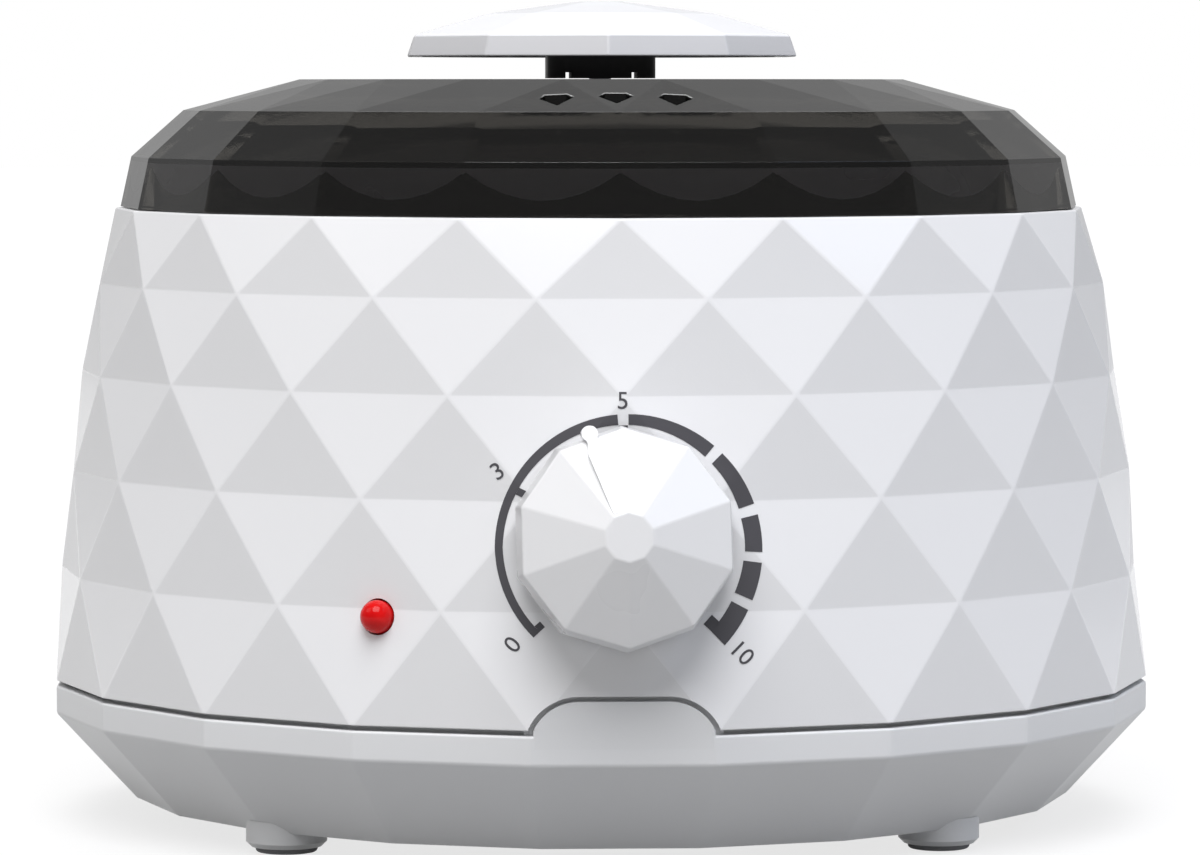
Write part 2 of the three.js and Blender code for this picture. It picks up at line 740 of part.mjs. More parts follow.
function makeHeaterBand() {
  const top = bandBottom + bandWidth;
  const ring = drum(bandOutside, bandBottom, top, largeRound).subtract(
    drum(bandInside, bandBottom - overrun, top + overrun, largeRound),
  );
  const gap = block(
    [-bandSplit / 2, 0, bandBottom - overrun],
    [bandSplit / 2, bandOutside + overrun, top + overrun],
  );
  const parts = [ring.subtract(gap)];
  [-1, 1].forEach((side) => {
    const inner = (side * bandSplit) / 2;
    const outer = inner + side * lugThickness;
    const low = [Math.min(inner, outer), bandInside + bandThickness / 2, lugMiddle - lugHeight / 2];
    const high = [Math.max(inner, outer), bandOutside + lugReach, lugMiddle + lugHeight / 2];
    parts.push(block(low, high));
    const { x, y } = around(bandInside + bandThickness / 2, side * inRadians(heaterTabAngle));
    const tab = block(
      [-heaterTabWidth / 2, -heaterTabThickness / 2, bandBottom - heaterTabLength],
      [heaterTabWidth / 2, heaterTabThickness / 2, bandBottom + heaterTabLength / 2],
    );
    const facing = new THREE.Group();
    facing.position.set(x, y, 0);
    facing.rotation.z = side * inRadians(heaterTabAngle);
    parts.push(carriedBy(tab, facing));
  });
  const hole = crossDrum(bandScrewRadius + fitGap, -bandSplit - lugThickness, bandSplit + lugThickness);
  return joined(parts).subtract(moved(hole, 0, lugScrewReach, lugMiddle));
}

// A drum whose axis is X, between two places on it.
function crossDrum(radius, from, to, sides = smallRound) {
  const geometry = new THREE.CylinderGeometry(radius, radius, to - from, sides);
  return solidFrom(geometry.rotateZ(rightAngle).translate((from + to) / 2, 0, 0));
}

function makeBandScrew() {
  const lugFace = bandSplit / 2 + lugThickness + seatGap;
  const shankEnd = -lugFace - bandNutHeight - seatGap;
  const shank = crossDrum(bandScrewRadius, shankEnd, lugFace + seatGap);
  return shank.add(crossDrum(bandScrewHeadRadius, lugFace, lugFace + bandScrewHeadHeight));
}

function makeBandNut() {
  const lugFace = -bandSplit / 2 - lugThickness - seatGap;
  const nut = crossDrum(bandNutRadius, lugFace - bandNutHeight, lugFace, hexSides);
  const hole = crossDrum(bandScrewRadius + seatGap, lugFace - bandNutHeight - overrun, lugFace + overrun);
  return nut.subtract(hole);
}

const fuseInClip = bandInside + clipThickness + fuseRadius + 2 * seatGap;
const fuseReach = Math.max(fuseInClip, bandOutside + leadRadius + fitGap); // so that its lead clears the band

function makeFuse() {
  const pinEnd = fuseLength + 2 * fusePinLength;
  return turned([
    [0, 0],
    [fusePinRadius, 0],
    [fusePinRadius, fusePinLength],
    [fuseRadius, fusePinLength],
    [fuseRadius, fusePinLength + fuseLength],
    [fusePinRadius, fusePinLength + fuseLength],
    [fusePinRadius, pinEnd],
    [0, pinEnd],
  ], smallRound);
}

// The clip is a strap on the bowl's wall with a loop round the fuse, in the fuse's own frame.
function makeFuseClip() {
  const bottom = fusePinLength + (fuseLength - clipHeight) / 2;
  const top = bottom + clipHeight;
  const strap = new THREE.Shape();
  const half = inRadians(clipSpan) / 2;
  strap.absarc(0, 0, bandInside + clipThickness, -half - rightAngle, half - rightAngle, false);
  strap.absarc(0, 0, bandInside, half - rightAngle, -half - rightAngle, true);
  strap.closePath();
  const loop = drum(fuseRadius + clipThickness + seatGap, bottom, top, smallRound);
  const bowlSide = moved(drum(bandInside, bottom - overrun, top + overrun, largeRound), 0, fuseReach, 0);
  const whole = moved(raised(strap, bottom, top), 0, fuseReach, 0).add(loop);
  return cut(whole, [drum(fuseRadius + seatGap, bottom - overrun, top + overrun, smallRound), bowlSide]);
}

// The knob in the dial's frame, its pointer upright and in the middle of a facet.
function makeKnob() {
  const rows = [
    { radius: knobBaseRadius, height: knobGap, shift: betweenColumns },
    { radius: knobCornerRadius, height: knobShoulder, shift: betweenColumns },
    { radius: knobFlatRadius, height: knobDepth, shift: betweenColumns },
  ];
  const body = faceted(rows, gemSides);
  const hollow = hollowRows(rows.slice(0, 2), knobWall, gemSides);
  const boss = drum(knobBossRadius, knobBossStart, knobShoulder);
  const cup = body.subtract(faceted(hollow, gemSides)).add(boss);
  return cut(cup.add(makePointer()), [makeShaft(shaftFit, knobBossStart - overrun)]);
}

// The pointer follows its facet from near the flat, over the shoulder and down to a round tip.
function makePointer() {
  const flatness = Math.cos(fullTurn / gemSides / 2);
  const flatReach = knobFlatRadius * flatness;
  const shoulderReach = knobCornerRadius * flatness;
  const slope = (knobDepth - knobShoulder) / (shoulderReach - flatReach);
  const facetHeight = (reach) => knobDepth - (reach - flatReach) * slope;
  const tipEnd = pointerReach + pointerTipRadius;
  const side = new THREE.Shape();
  side.moveTo(pointerInnerReach, facetHeight(pointerInnerReach) + pointerRise / 2);
  side.lineTo(shoulderReach, knobShoulder + pointerRise);
  side.lineTo(tipEnd - pointerTipRadius / 2, knobShoulder - pointerTipRadius / 2);
  side.lineTo(tipEnd, knobShoulder - 2 * pointerTipRadius);
  side.lineTo(tipEnd, pointerTipDepth + pointerTipRadius / 2);
  side.lineTo(tipEnd - pointerTipRadius / 2, pointerTipDepth);
  side.lineTo(shoulderReach - knobWall / 2, pointerTipDepth);
  side.lineTo(shoulderReach - knobWall / 2, knobShoulder - pointerRise);
  side.lineTo(pointerInnerReach, facetHeight(pointerInnerReach) - pointerRise);
  side.closePath();
  const options = { depth: 2 * pointerTipRadius, bevelEnabled: false };
  const ridge = new THREE.ExtrudeGeometry(side, options).translate(0, 0, -pointerTipRadius);
  const upright = solidFrom(ridge.rotateX(rightAngle).rotateZ(rightAngle));
  const plan = new THREE.Shape();
  plan.moveTo((-pointerWidth * pointerTaperShare) / 2, pointerInnerReach);
  plan.lineTo((pointerWidth * pointerTaperShare) / 2, pointerInnerReach);
  plan.lineTo(pointerTipRadius, shoulderReach - pointerTipRadius);
  plan.lineTo(pointerWidth / 2, shoulderReach);
  plan.absarc(0, pointerReach, pointerTipRadius, 0, 2 * rightAngle, false);
  plan.lineTo(-pointerWidth / 2, shoulderReach);
  plan.lineTo(-pointerTipRadius, shoulderReach - pointerTipRadius);
  plan.closePath();
  return upright.intersect(raised(plan, 0, knobDepth + overrun));
}

// The shaft with its flat; a growth makes the hole that it goes in.
function makeShaft(growth, bottom) {
  const top = knobShoulder + knobWall + growth;
  const round = drum(shaftRadius + growth, bottom, top);
  const flatAt = shaftRadius - shaftFlat + growth;
  const flat = block(
    [-2 * shaftRadius, flatAt, knobBossStart - 2 * overrun],
    [2 * shaftRadius, 2 * shaftRadius, top + overrun],
  );
  return round.subtract(flat.subtract(drum(2 * shaftRadius, bottom - overrun, bushReach)));
}

function makeThermostat() {
  const front = -panelPadDepth - seatGap;
  const back = front - thermostatDepth;
  const body = raised(roundedOutline(thermostatWidth, thermostatHeight, thermostatCorner), back, front);
  const bush = drum(bushRadius, front - seatGap, bushReach);
  const parts = [body, bush];
  [-1, 1].forEach((side) => {
    const x = (side * bladeSpacing) / 2;
    const foot = -thermostatHeight / 2;
    const middle = (front + back) / 2;
    const low = [x - bladeWidth / 2, foot - bladeLength, middle - bladeThickness / 2];
    parts.push(block(low, [x + bladeWidth / 2, foot + seatGap, middle + bladeThickness / 2]));
  });
  return joined(parts).subtract(drum(shaftRadius + fitGap, -shaftInside - seatGap, bushReach + overrun));
}

function makeThermostatNut() {
  const bottom = -spotDepth + seatGap;
  const nut = drum(nutHexRadius, bottom, bottom + nutThickness, hexSides);
  return nut.subtract(drum(bushRadius + fitGap, bottom - overrun, bottom + nutThickness + overrun));
}

function makeLens() {
  const flangeTop = -housingWall - seatGap;
  const flangeBottom = flangeTop - lensFlangeThickness;
  const dome = [];
  for (let i = 0; i <= curveSteps; i += 1) {
    const angle = (i / curveSteps) * rightAngle;
    dome.push([lensRadius * Math.cos(angle), lensStraight + lensRadius * Math.sin(angle)]);
  }
  return turned([
    [0, flangeBottom - lensTailLength],
    [lensTailRadius, flangeBottom - lensTailLength],
    [lensTailRadius, flangeBottom],
    [lensFlangeRadius, flangeBottom],
    [lensFlangeRadius, flangeTop],
    [lensRadius, flangeTop],
    ...dome,
  ]);
}

function makeLampHolder() {
  const top = -housingWall - 2 * seatGap - lensFlangeThickness;
  const cup = drum(holderRadius, top - holderLength, top);
  return cup.subtract(drum(lensTailRadius + fitGap, top - lensTailLength - overrun, top + overrun));
}

function makeGland() {
  const seat = glandPadRise + seatGap;
  const flangeTop = seat + glandFlangeThickness;
  const noseTop = flangeTop + glandNoseLength;
  return turned([
    [glandBoreRadius, -glandInside],
    [glandBarrelRadius, -glandInside],
    [glandBarrelRadius, seat],
    [glandFlangeRadius, seat],
    [glandFlangeRadius, flangeTop - ringChamfer],
    [glandFlangeRadius - ringChamfer, flangeTop],
    [glandBarrelRadius, flangeTop],
    [glandNoseRadius, noseTop],
    [glandBoreRadius, noseTop],
  ]);
}

function makeGlandNut() {
  const top = -glandPadInside - seatGap;
  const nut = drum(glandNutRadius, top - glandNutThickness, top, hexSides);
  return nut.subtract(drum(glandBarrelRadius + fitGap, top - glandNutThickness - overrun, top + overrun));
}

function makeTerminalBlock() {
  const body = raised(roundedOutline(blockWidth, blockDepth, blockCorner), 0, blockHeight);
  const tools = [];
  [-1, 0, 1].forEach((place) => {
    const x = place * blockPitch;
    [-1, 1].forEach((side) => {
      const hole = drum(leadRadius + 2 * fitGap, 0, blockHoleDepth + overrun, smallRound);
      const facing = new THREE.Group();
      facing.position.set(x, side * (blockDepth / 2 - blockHoleDepth), blockHeight / 2);
      facing.rotation.x = -side * rightAngle;
      tools.push(carriedBy(hole, facing));
    });
    const well = drum(blockScrewRadius, blockHeight - leadRadius, blockHeight + overrun, smallRound);
    tools.push(moved(well, x, 0, 0));
  });
  return cut(body, tools);
}

const lidBottom = rimHeight + seatGap;
const lidRows = lidHeights.map((height, i) => ({
  radius: rimRadius - lidRimInset - lidInsets[i],
  height,
  shift: i === lidHeights.length - 1 ? betweenColumns : 0,
}));
const lidTop = lidHeights.at(-1);
const skirtRadius = rimInside - fitGap;
const skirtInside = skirtRadius - skirtThickness;

// The lid is faceted outside and inside, but its skirt is round: where the round hollow of the skirt
// meets the flat inner facets, it leaves a row of hanging arcs, one on each facet.
function makeLid() {
  const skirt = drum(skirtRadius, -skirtDepth, lidHeights[1] / 2, largeRound);
  const whole = faceted(lidRows, facetColumns).add(skirt);
  const innerRows = hollowRows(lidRows, lidWall, facetColumns);
  innerRows[0].height = -skirtDepth - overrun;
  const roundHollow = drum(skirtInside, -skirtDepth - overrun, lidTop, largeRound);
  const hollow = faceted(innerRows, facetColumns).intersect(roundHollow);
  const tools = [hollow, drum(handleScrewRadius + fitGap, 0, lidTop + overrun, smallRound)];
  [-1, 0, 1].forEach((place) => {
    tools.push(raised(gemVent(place * ventSpacing), lidHeights[1], lidTop + overrun));
  });
  return cut(whole, tools);
}

// A vent in the outline of a cut gem, its point towards the front.
function gemVent(x) {
  const back = -ventBackReach;
  const half = gemVentWidth / 2;
  const shape = new THREE.Shape();
  shape.moveTo(x - half * gemTableShare, back);
  shape.lineTo(x - half, back - gemVentLength * gemGirdleShare);
  shape.lineTo(x, back - gemVentLength);
  shape.lineTo(x + half, back - gemVentLength * gemGirdleShare);
  shape.lineTo(x + half * gemTableShare, back);
  shape.closePath();
  return shape;
}

function makeNeck() {
  const bottom = lidTop + seatGap;
  const top = lidTop + neckShow + neckInCap;
  const body = raised(roundedOutline(neckWidth, neckDepth, neckCorner), bottom, top);
  const tools = [drum(handleScrewRadius + fitGap, bottom - overrun, top + overrun, smallRound)];
  [-1, 1].forEach((side) => {
    const x = side * notchPlace;
    tools.push(
      block(
        [x - notchWidth / 2, -neckDepth, bottom - overrun],
        [x + notchWidth / 2, neckDepth, lidTop + notchHeight],
      ),
    );
  });
  return cut(body, tools);
}

function makeCap() {
  const rows = capRadii.map((radius, i) => ({ radius, height: capHeights[i], shift: 0 }));
  const shell = faceted(rows, gemSides).subtract(faceted(hollowRows(rows, capWall, gemSides), gemSides));
  const bossBottom = neckInCap + seatGap;
  const bossTop = capHeights.at(-1) - capWall;
  const boss = drum(capBossRadius, bossBottom, bossTop);
  const bore = drum(handleScrewRadius + seatGap, bossBottom - overrun, bossTop - seatGap, smallRound);
  return shell.add(boss).subtract(bore);
}

function makeWasher() {
  const washer = drum(washerRadius, 0, washerThickness);
  return washer.subtract(drum(handleScrewRadius + fitGap, -overrun, washerThickness + overrun, smallRound));
}

// The pot hangs in the bowl by its flange; height 0 is the underside of the flange.
const potRadius = bowlInside - potGap;
const potDepth = ringTop + seatGap - bowlFloor - bowlWall - potBottomGap;
const potInside = potRadius - potWall;
const potFlangeRadius = potRadius + potFlangeWidth;
const pivotHeight = potFlangeThickness + pivotRise;
const earReach = potRadius + potWall;
const earFootEnd = potFlangeRadius - 2 * potBeadRadius - earFootRoom;
const rivetReach = earReach + earThickness + rivetHeadRadius + seatGap;
const loopRadius = earReach + earThickness + bailSideRoom + bailBend;

function makePot() {
  const floor = -potDepth;
  const corner = (radius, inset) => {
    const points = [];
    for (let i = 0; i <= cornerSteps; i += 1) {
      const angle = (i / cornerSteps) * rightAngle;
      const x = potRadius - inset - radius + radius * Math.sin(angle);
      points.push([x, floor + inset + radius - radius * Math.cos(angle)]);
    }
    return points;
  };
  const bead = [];
  for (let i = 0; i <= beadSteps; i += 1) {
    const angle = -rightAngle + (i / beadSteps) * beadTurnShare * fullTurn;
    bead.push([
      potFlangeRadius - potBeadRadius + potBeadRadius * Math.cos(angle),
      potBeadRadius + potBeadRadius * Math.sin(angle),
    ]);
  }
  return turned(
    [
      [0, floor],
      ...corner(potCornerRadius, 0),
      [potRadius, 0],
      ...bead,
      [potFlangeRadius - 2 * potBeadRadius, potFlangeThickness],
      [potInside, potFlangeThickness],
      ...corner(potCornerRadius - potWall, potWall).reverse(),
      [0, floor + potWall],
    ],
    largeRound,
  );
}

// One ear, on the right of the pot: a foot on the flange and an upright plate with the bail's hole.
function makeEar() {
  const foot = block(
    [earReach, -earWidth / 2, potFlangeThickness + seatGap],
    [earFootEnd, earWidth / 2, potFlangeThickness + seatGap + earFootThickness],
  );
  const plateShape = new THREE.Shape();
  plateShape.moveTo(-earWidth / 2, potFlangeThickness + seatGap);
  plateShape.lineTo(earWidth / 2, potFlangeThickness + seatGap);
  plateShape.absarc(0, pivotHeight, earWidth / 2, 0, 2 * rightAngle, false);
  plateShape.closePath();
  const options = { depth: earThickness, bevelEnabled: false, curveSegments: curveSteps };
  const plate = new THREE.ExtrudeGeometry(plateShape, options);
  const upright = solidFrom(plate.rotateX(rightAngle).rotateZ(rightAngle).translate(earReach, 0, 0));
  const hole = crossDrum(bailWireRadius + bailPlay, earReach - overrun, earReach + earThickness + overrun);
  const rivetHole = drum(rivetRadius + seatGap, 0, pivotHeight - bailWireRadius, smallRound);
  return cut(upright.add(foot), [moved(hole, 0, 0, pivotHeight), moved(rivetHole, rivetReach, 0, 0)]);
}

function makeRivet() {
  const seat = potFlangeThickness + 2 * seatGap + earFootThickness;
  return turned([
    [0, potFlangeThickness + seatGap],
    [rivetRadius, potFlangeThickness + seatGap],
    [rivetRadius, seat],
    [rivetHeadRadius, seat],
    [rivetHeadRadius, seat + rivetHeadHeight / 2],
    [rivetHeadRadius / 2, seat + rivetHeadHeight],
    [0, seat + rivetHeadHeight],
  ], smallRound);
}

// The bail folded back over the rear half of the rim; its ends go in through the ears.
function makeBail() {
  const rightEnd = [earReach - bailEndInside, earReach + earThickness].map((x) => new THREE.Vector3(x, 0, 0));
  for (let i = 0; i <= curveSteps; i += 1) {
    const angle = (i / curveSteps - 1) * rightAngle;
    const x = loopRadius - bailBend + bailBend * Math.cos(angle);
    rightEnd.push(new THREE.Vector3(x, bailBend + bailBend * Math.sin(angle), 0));
  }
  const loop = [];
  const start = Math.asin((2 * bailBend) / loopRadius);
  for (let i = 0; i <= bailSteps; i += 1) {
    const angle = start + (i / bailSteps) * (Math.PI - 2 * start);
    loop.push(new THREE.Vector3(loopRadius * Math.cos(angle), loopRadius * Math.sin(angle), 0));
  }
  const leftEnd = rightEnd.map(({ x, y }) => new THREE.Vector3(-x, y, 0)).reverse();
  const points = [...rightEnd, ...loop, ...leftEnd];
  return swept(new Route(points, false, "centripetal"), bailWireRadius, points.length - 1);
}

class LoopArc extends THREE.Curve {
  getPoint(share) {
    const half = inRadians(gripHalfAngle);
    const angle = rightAngle - half + 2 * half * share;
    return new THREE.Vector3(loopRadius * Math.cos(angle), loopRadius * Math.sin(angle), 0);
  }
}

// A lead from one end to the other, straight at each end and by way of the points between.
function makeLead(from, fromWay, to, toWay, between) {
  const leaving = from.clone().addScaledVector(fromWay, leadRise);
  const arriving = to.clone().addScaledVector(toWay, leadRise);
  const points = [from, leaving, ...between(leaving, arriving), arriving, to];
  const path = new Route(points, false, "centripetal");
  return swept(path, leadRadius, leadSteps * (points.length - 1), leadSides);
}

// Points on a straight line as seen from above, at the listed heights.
function straightBy(heights) {
  return (leaving, arriving) =>
    heights.map((height, i) => leaving.clone().lerp(arriving, (i + 1) / (heights.length + 1)).setZ(height));
}

// Points round the outside of the heater band, at the listed heights.
function roundBandBy(heights) {
  const angleOf = (point) => Math.atan2(point.x, -point.y);
  return (leaving, arriving) =>
    heights.map((height, i) => {
      const angle = THREE.MathUtils.lerp(angleOf(leaving), angleOf(arriving), (i + 1) / (heights.length + 1));
      const { x, y } = around(bandOutside + leadBandGap, angle);
      return new THREE.Vector3(x, y, height);
    });
}

// Assembly of the housing and what is fixed in it
addPiece(heater, "upper_housing", makeUpperHousing(), whiteGloss);
addPiece(heater, "lower_housing", makeLowerHousing(), whiteShade);

const footPad = makeFootPad();
const baseScrew = makeScrew(baseScrewHeadRadius, baseScrewHeadHeight, baseScrewShankRadius, baseScrewLength);
legAngles.forEach((angle, i) => {
  const { x, y } = around(legCircle, angle);
  addPiece(heater, "foot_pad_" + legNames[i], footPad, rubber).position.set(x, y, 0);
  const screw = addPiece(heater, "base_screw_" + legNames[i], baseScrew, steel);
  screw.position.set(x, y, baseScrewBite - seatGap);
  screw.rotation.x = 2 * rightAngle;
});

addPiece(heater, "heating_bowl", makeBowl(), aluminium);
addPiece(heater, "bowl_ring", makeBowlRing(), blackPlastic);
const ringScrew = makeScrew(ringScrewHeadRadius, ringScrewHeadHeight, ringScrewShankRadius, ringScrewLength);
ringScrewAngles.forEach((angle, i) => {
  const { x, y } = around(ringScrewCircle, angle);
  const screw = addPiece(heater, "ring_screw_" + ringScrewNames[i], ringScrew, steel);
  screw.position.set(x, y, ringTop - ringScrewHeadHeight + seatGap);
});

addPiece(heater, "heater_band", makeHeaterBand(), mica);
addPiece(heater, "band_screw", makeBandScrew(), steel).position.set(0, lugScrewReach, lugMiddle);
addPiece(heater, "band_nut", makeBandNut(), steel).position.set(0, lugScrewReach, lugMiddle);

const fusePlace = new THREE.Group();
const fuseCentre = around(fuseReach, inRadians(fuseAngle));
fusePlace.position.set(fuseCentre.x, fuseCentre.y, fuseBottom);
fusePlace.rotation.z = inRadians(fuseAngle);
heater.add(fusePlace);
addPiece(fusePlace, "thermal_fuse", makeFuse(), steel);
addPiece(fusePlace, "fuse_clip", makeFuseClip(), aluminium);

addPiece(dial, "thermostat_body", makeThermostat(), ceramic);
addPiece(dial, "thermostat_nut", makeThermostatNut(), brass);
const turning = new THREE.Group();
turning.rotation.z = inRadians(pointerRest);
dial.add(turning);
addPiece(turning, "thermostat_shaft", makeShaft(0, -shaftInside), steel);
addPiece(turning, "knob", makeKnob(), whiteGloss);

addPiece(lamp, "indicator_lens", makeLens(), redLens);
addPiece(lamp, "lamp_holder", makeLampHolder(), blackPlastic);
addPiece(gland, "cord_gland", makeGland(), blackPlastic);
addPiece(gland, "gland_nut", makeGlandNut(), blackPlastic);

const terminalBlock = addPiece(heater, "terminal_block", makeTerminalBlock(), ceramic);
terminalBlock.position.set(0, blockPlace, floorTop + seatGap);

// Leads between the terminal block, the thermostat, the fuse, the heater band and the lamp
const up = new THREE.Vector3(0, 0, 1);
const down = new THREE.Vector3(0, 0, -1);
const forwards = new THREE.Vector3(0, -1, 0);
const blockHole = (place) =>
  new THREE.Vector3(
    place * blockPitch,
    blockPlace - blockDepth / 2 + blockHoleDepth - fitGap,
    floorTop + seatGap + blockHeight / 2,
  );
const bladeEnd = (side) => {
  const foot = -thermostatHeight / 2 - bladeLength - fitGap;
  const middle = -panelPadDepth - seatGap - thermostatDepth / 2;
  return new THREE.Vector3((side * bladeSpacing) / 2, foot, middle).applyMatrix4(dial.matrix);
};
const heaterTabEnd = (side) => {
  const { x, y } = around(bandInside + bandThickness / 2, side * inRadians(heaterTabAngle));
  return new THREE.Vector3(x, y, bandBottom - heaterTabLength - fitGap);
};
const bladeWay = new THREE.Vector3(0, -1, 0).transformDirection(dial.matrix);
const fuseFoot = fusePlace.position.clone().addScaledVector(down, fitGap);
const fuseHead = fusePlace.position.clone().addScaledVector(up, fuseLength + 2 * fusePinLength + fitGap);
const holderBack = -housingWall - 2 * seatGap - lensFlangeThickness - holderLength - fitGap;
const lampBack = new THREE.Vector3(0, 0, holderBack).applyMatrix4(lamp.matrix);
const lampWay = new THREE.Vector3(0, 0, -1).transformDirection(lamp.matrix);
const crossing = straightBy(leadFloorGaps.map((gap) => floorTop + gap));
const toLamp = (leaving, arriving) => {
  const points = crossing(leaving, arriving);
  const corner = arriving.clone().lerp(lampBack, lampLeadShare);
  return [...points, corner.setZ(points.at(-1).z)];
};
const underBowl = bowlFloor - leadDrop;
const toFuse = (leaving, arriving) => [
  ...roundBandBy([underBowl, underBowl, underBowl])(leaving, arriving),
  arriving.clone().setZ(underBowl),
];
const fuseToTab = [heaterTabEnd(-1).z - leadRise, fuseHead.z + leadRise];
const fromFuse = roundBandBy(leadFusedShares.map((share) => THREE.MathUtils.lerp(...fuseToTab, share)));
const leads = {
  lead_live: [makeLead(blockHole(0), forwards, bladeEnd(1), bladeWay, crossing), brownLead],
  lead_switched: [makeLead(bladeEnd(-1), bladeWay, fuseFoot, down, toFuse), redLead],
  lead_fused: [makeLead(fuseHead, up, heaterTabEnd(-1), down, fromFuse), redLead],
  lead_neutral: [makeLead(blockHole(1), forwards, heaterTabEnd(1), down, crossing), blueLead],
  lead_lamp: [makeLead(blockHole(-1), forwards, lampBack, lampWay, toLamp), blueLead],
};
Object.entries(leads).forEach(([name, [solid, finish]]) => addPiece(heater, name, solid, finish));

// Lid and handle
const lid = new THREE.Group();
lid.position.z = lidBottom;
heater.add(lid);
addPiece(lid, "lid_shell", makeLid(), smoke);
addPiece(lid, "handle_neck", makeNeck(), blackPlastic);
addPiece(lid, "handle_cap", makeCap(), whiteGloss).position.z = lidTop + neckShow;
const washerTop = lidTop - lidWall - seatGap;
addPiece(lid, "handle_washer", makeWasher(), steel).position.z = washerTop - washerThickness;
const handleScrewSizes = [handleScrewHeadRadius, handleScrewHeadHeight, handleScrewRadius, handleScrewLength];
const handleScrew = addPiece(lid, "handle_screw", makeScrew(...handleScrewSizes), steel);
handleScrew.position.z = washerTop - washerThickness - seatGap;
handleScrew.rotation.x = 2 * rightAngle;

// Pot and bail
const pot = new THREE.Group();
pot.position.z = ringTop + seatGap;
heater.add(pot);
addPiece(pot, "inner_pot", makePot(), aluminium);
const ear = makeEar();
const rivet = makeRivet();
[0, 2 * rightAngle].forEach((turn, i) => {
  const side = i === 0 ? "right" : "left";
  const sideGroup = new THREE.Group();
  sideGroup.rotation.z = turn;
  pot.add(sideGroup);
  addPiece(sideGroup, "pot_ear_" + side, ear, steel);
  addPiece(sideGroup, "ear_rivet_" + side, rivet, aluminium).position.x = rivetReach;
});
const bail = new THREE.Group();
bail.position.z = pivotHeight;
pot.add(bail);
addPiece(bail, "pot_bail", makeBail(), steel);
const grip = swept(new LoopArc(), gripRadius, gripSteps, smallRound, bailWireRadius + 2 * fitGap);
addPiece(bail, "bail_grip", grip, blackPlastic);

// The whole is centred over the origin
const extent = new THREE.Box3().setFromObject(heater, true);
heater.position.x = -(extent.min.x + extent.max.x) / 2;
heater.position.y = -(extent.min.y + extent.max.y) / 2;

export default heater;
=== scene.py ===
import math
import bmesh
import bpy
from mathutils import Matrix, Vector
from mathutils.bvhtree import BVHTree


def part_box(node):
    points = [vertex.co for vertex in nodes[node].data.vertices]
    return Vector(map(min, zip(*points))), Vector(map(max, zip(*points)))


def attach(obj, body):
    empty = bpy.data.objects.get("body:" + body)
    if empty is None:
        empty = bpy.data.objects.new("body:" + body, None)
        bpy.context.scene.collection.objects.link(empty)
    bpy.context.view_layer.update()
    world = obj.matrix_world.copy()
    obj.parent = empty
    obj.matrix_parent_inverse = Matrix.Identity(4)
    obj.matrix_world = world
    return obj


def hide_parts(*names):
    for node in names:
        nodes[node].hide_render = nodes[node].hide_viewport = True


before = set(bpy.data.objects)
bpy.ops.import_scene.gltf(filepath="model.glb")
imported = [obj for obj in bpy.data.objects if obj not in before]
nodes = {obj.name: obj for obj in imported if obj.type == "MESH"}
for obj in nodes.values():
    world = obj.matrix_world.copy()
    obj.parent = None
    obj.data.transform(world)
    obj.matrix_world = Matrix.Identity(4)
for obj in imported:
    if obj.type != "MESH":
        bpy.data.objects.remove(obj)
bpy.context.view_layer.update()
mm = 0.001
fullTurn = 2 * math.pi
print("frame loaded:", len(nodes), "nodes")


# Camera and studio

bowlLow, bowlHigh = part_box("heating_bowl")
axisY = (bowlLow.y + bowlHigh.y) / 2  # the body's own axis, in metres

view = {
    "distance": 1.024,  # from the body's axis, metres
    "azimuth": -2.35,  # degrees, negative is from the left
    "height": 0.1327,
    "tilt": 3.5,  # degrees down
    "lens": 167.8,
    "sensor": 36.0,
    "clip": (0.05, 20),
}


def makeCamera():
    cameraData = bpy.data.cameras.new("photoCamera")
    cameraData.lens = view["lens"]
    cameraData.sensor_width = view["sensor"]
    cameraData.clip_start, cameraData.clip_end = view["clip"]
    camera = bpy.data.objects.new("photoCamera", cameraData)
    bpy.context.scene.collection.objects.link(camera)
    turn = math.radians(view["azimuth"])
    reach = view["distance"]
    camera.location = (reach * math.sin(turn), axisY - reach * math.cos(turn), view["height"])
    camera.rotation_euler = (math.radians(90 - view["tilt"]), 0, turn)
    bpy.context.scene.camera = camera


makeCamera()

studio = {
    "worldLight": 0.22,
    "backdropFade": (0.45, 0.8),  # sines of the heights between which the backdrop fades in reflections
    "backdropBehind": (-0.1, 0.35),  # how far behind the object a reflection looks to see the backdrop
    "backdropLevel": 0.28,
    "backdropLight": 1.0,
    "lampDistance": 1.2,
    "lamps": {  # towards the light: degrees round from the front, degrees up; strength, width, colour
        "front": (-6, 60, 3.2, 44, (0.98, 0.98, 1)),
        "rear": (175, 56, 1.3, 42, (1, 1, 1)),
        "left": (-78, 39, 0.32, 30, (1, 0.985, 0.93)),
        "right": (78, 39, 0.54, 30, (0.68, 0.78, 1)),
    },
    "floorBounce": (0.34, 0.34, 0.34, 1),  # what the floor sends back to the object
    "floorColour": (0.9, 0.9, 0.9, 1),
    "floorWhite": 0.8,  # how much of what is seen of the floor is plain white; the rest takes the shadow
    "floorLevel": 0.95,
    "floorSize": 8,
    "floorDrop": 0.0002,  # just under the feet
}


def link(tree, source, output, target, socket):
    tree.links.new(source.outputs[output], target.inputs[socket])


def newMath(tree, operation, first, second):
    node = tree.nodes.new("ShaderNodeMath")
    node.operation = operation
    for socket, (source, output) in enumerate((first, second)):
        link(tree, source, output, node, socket)
    return node


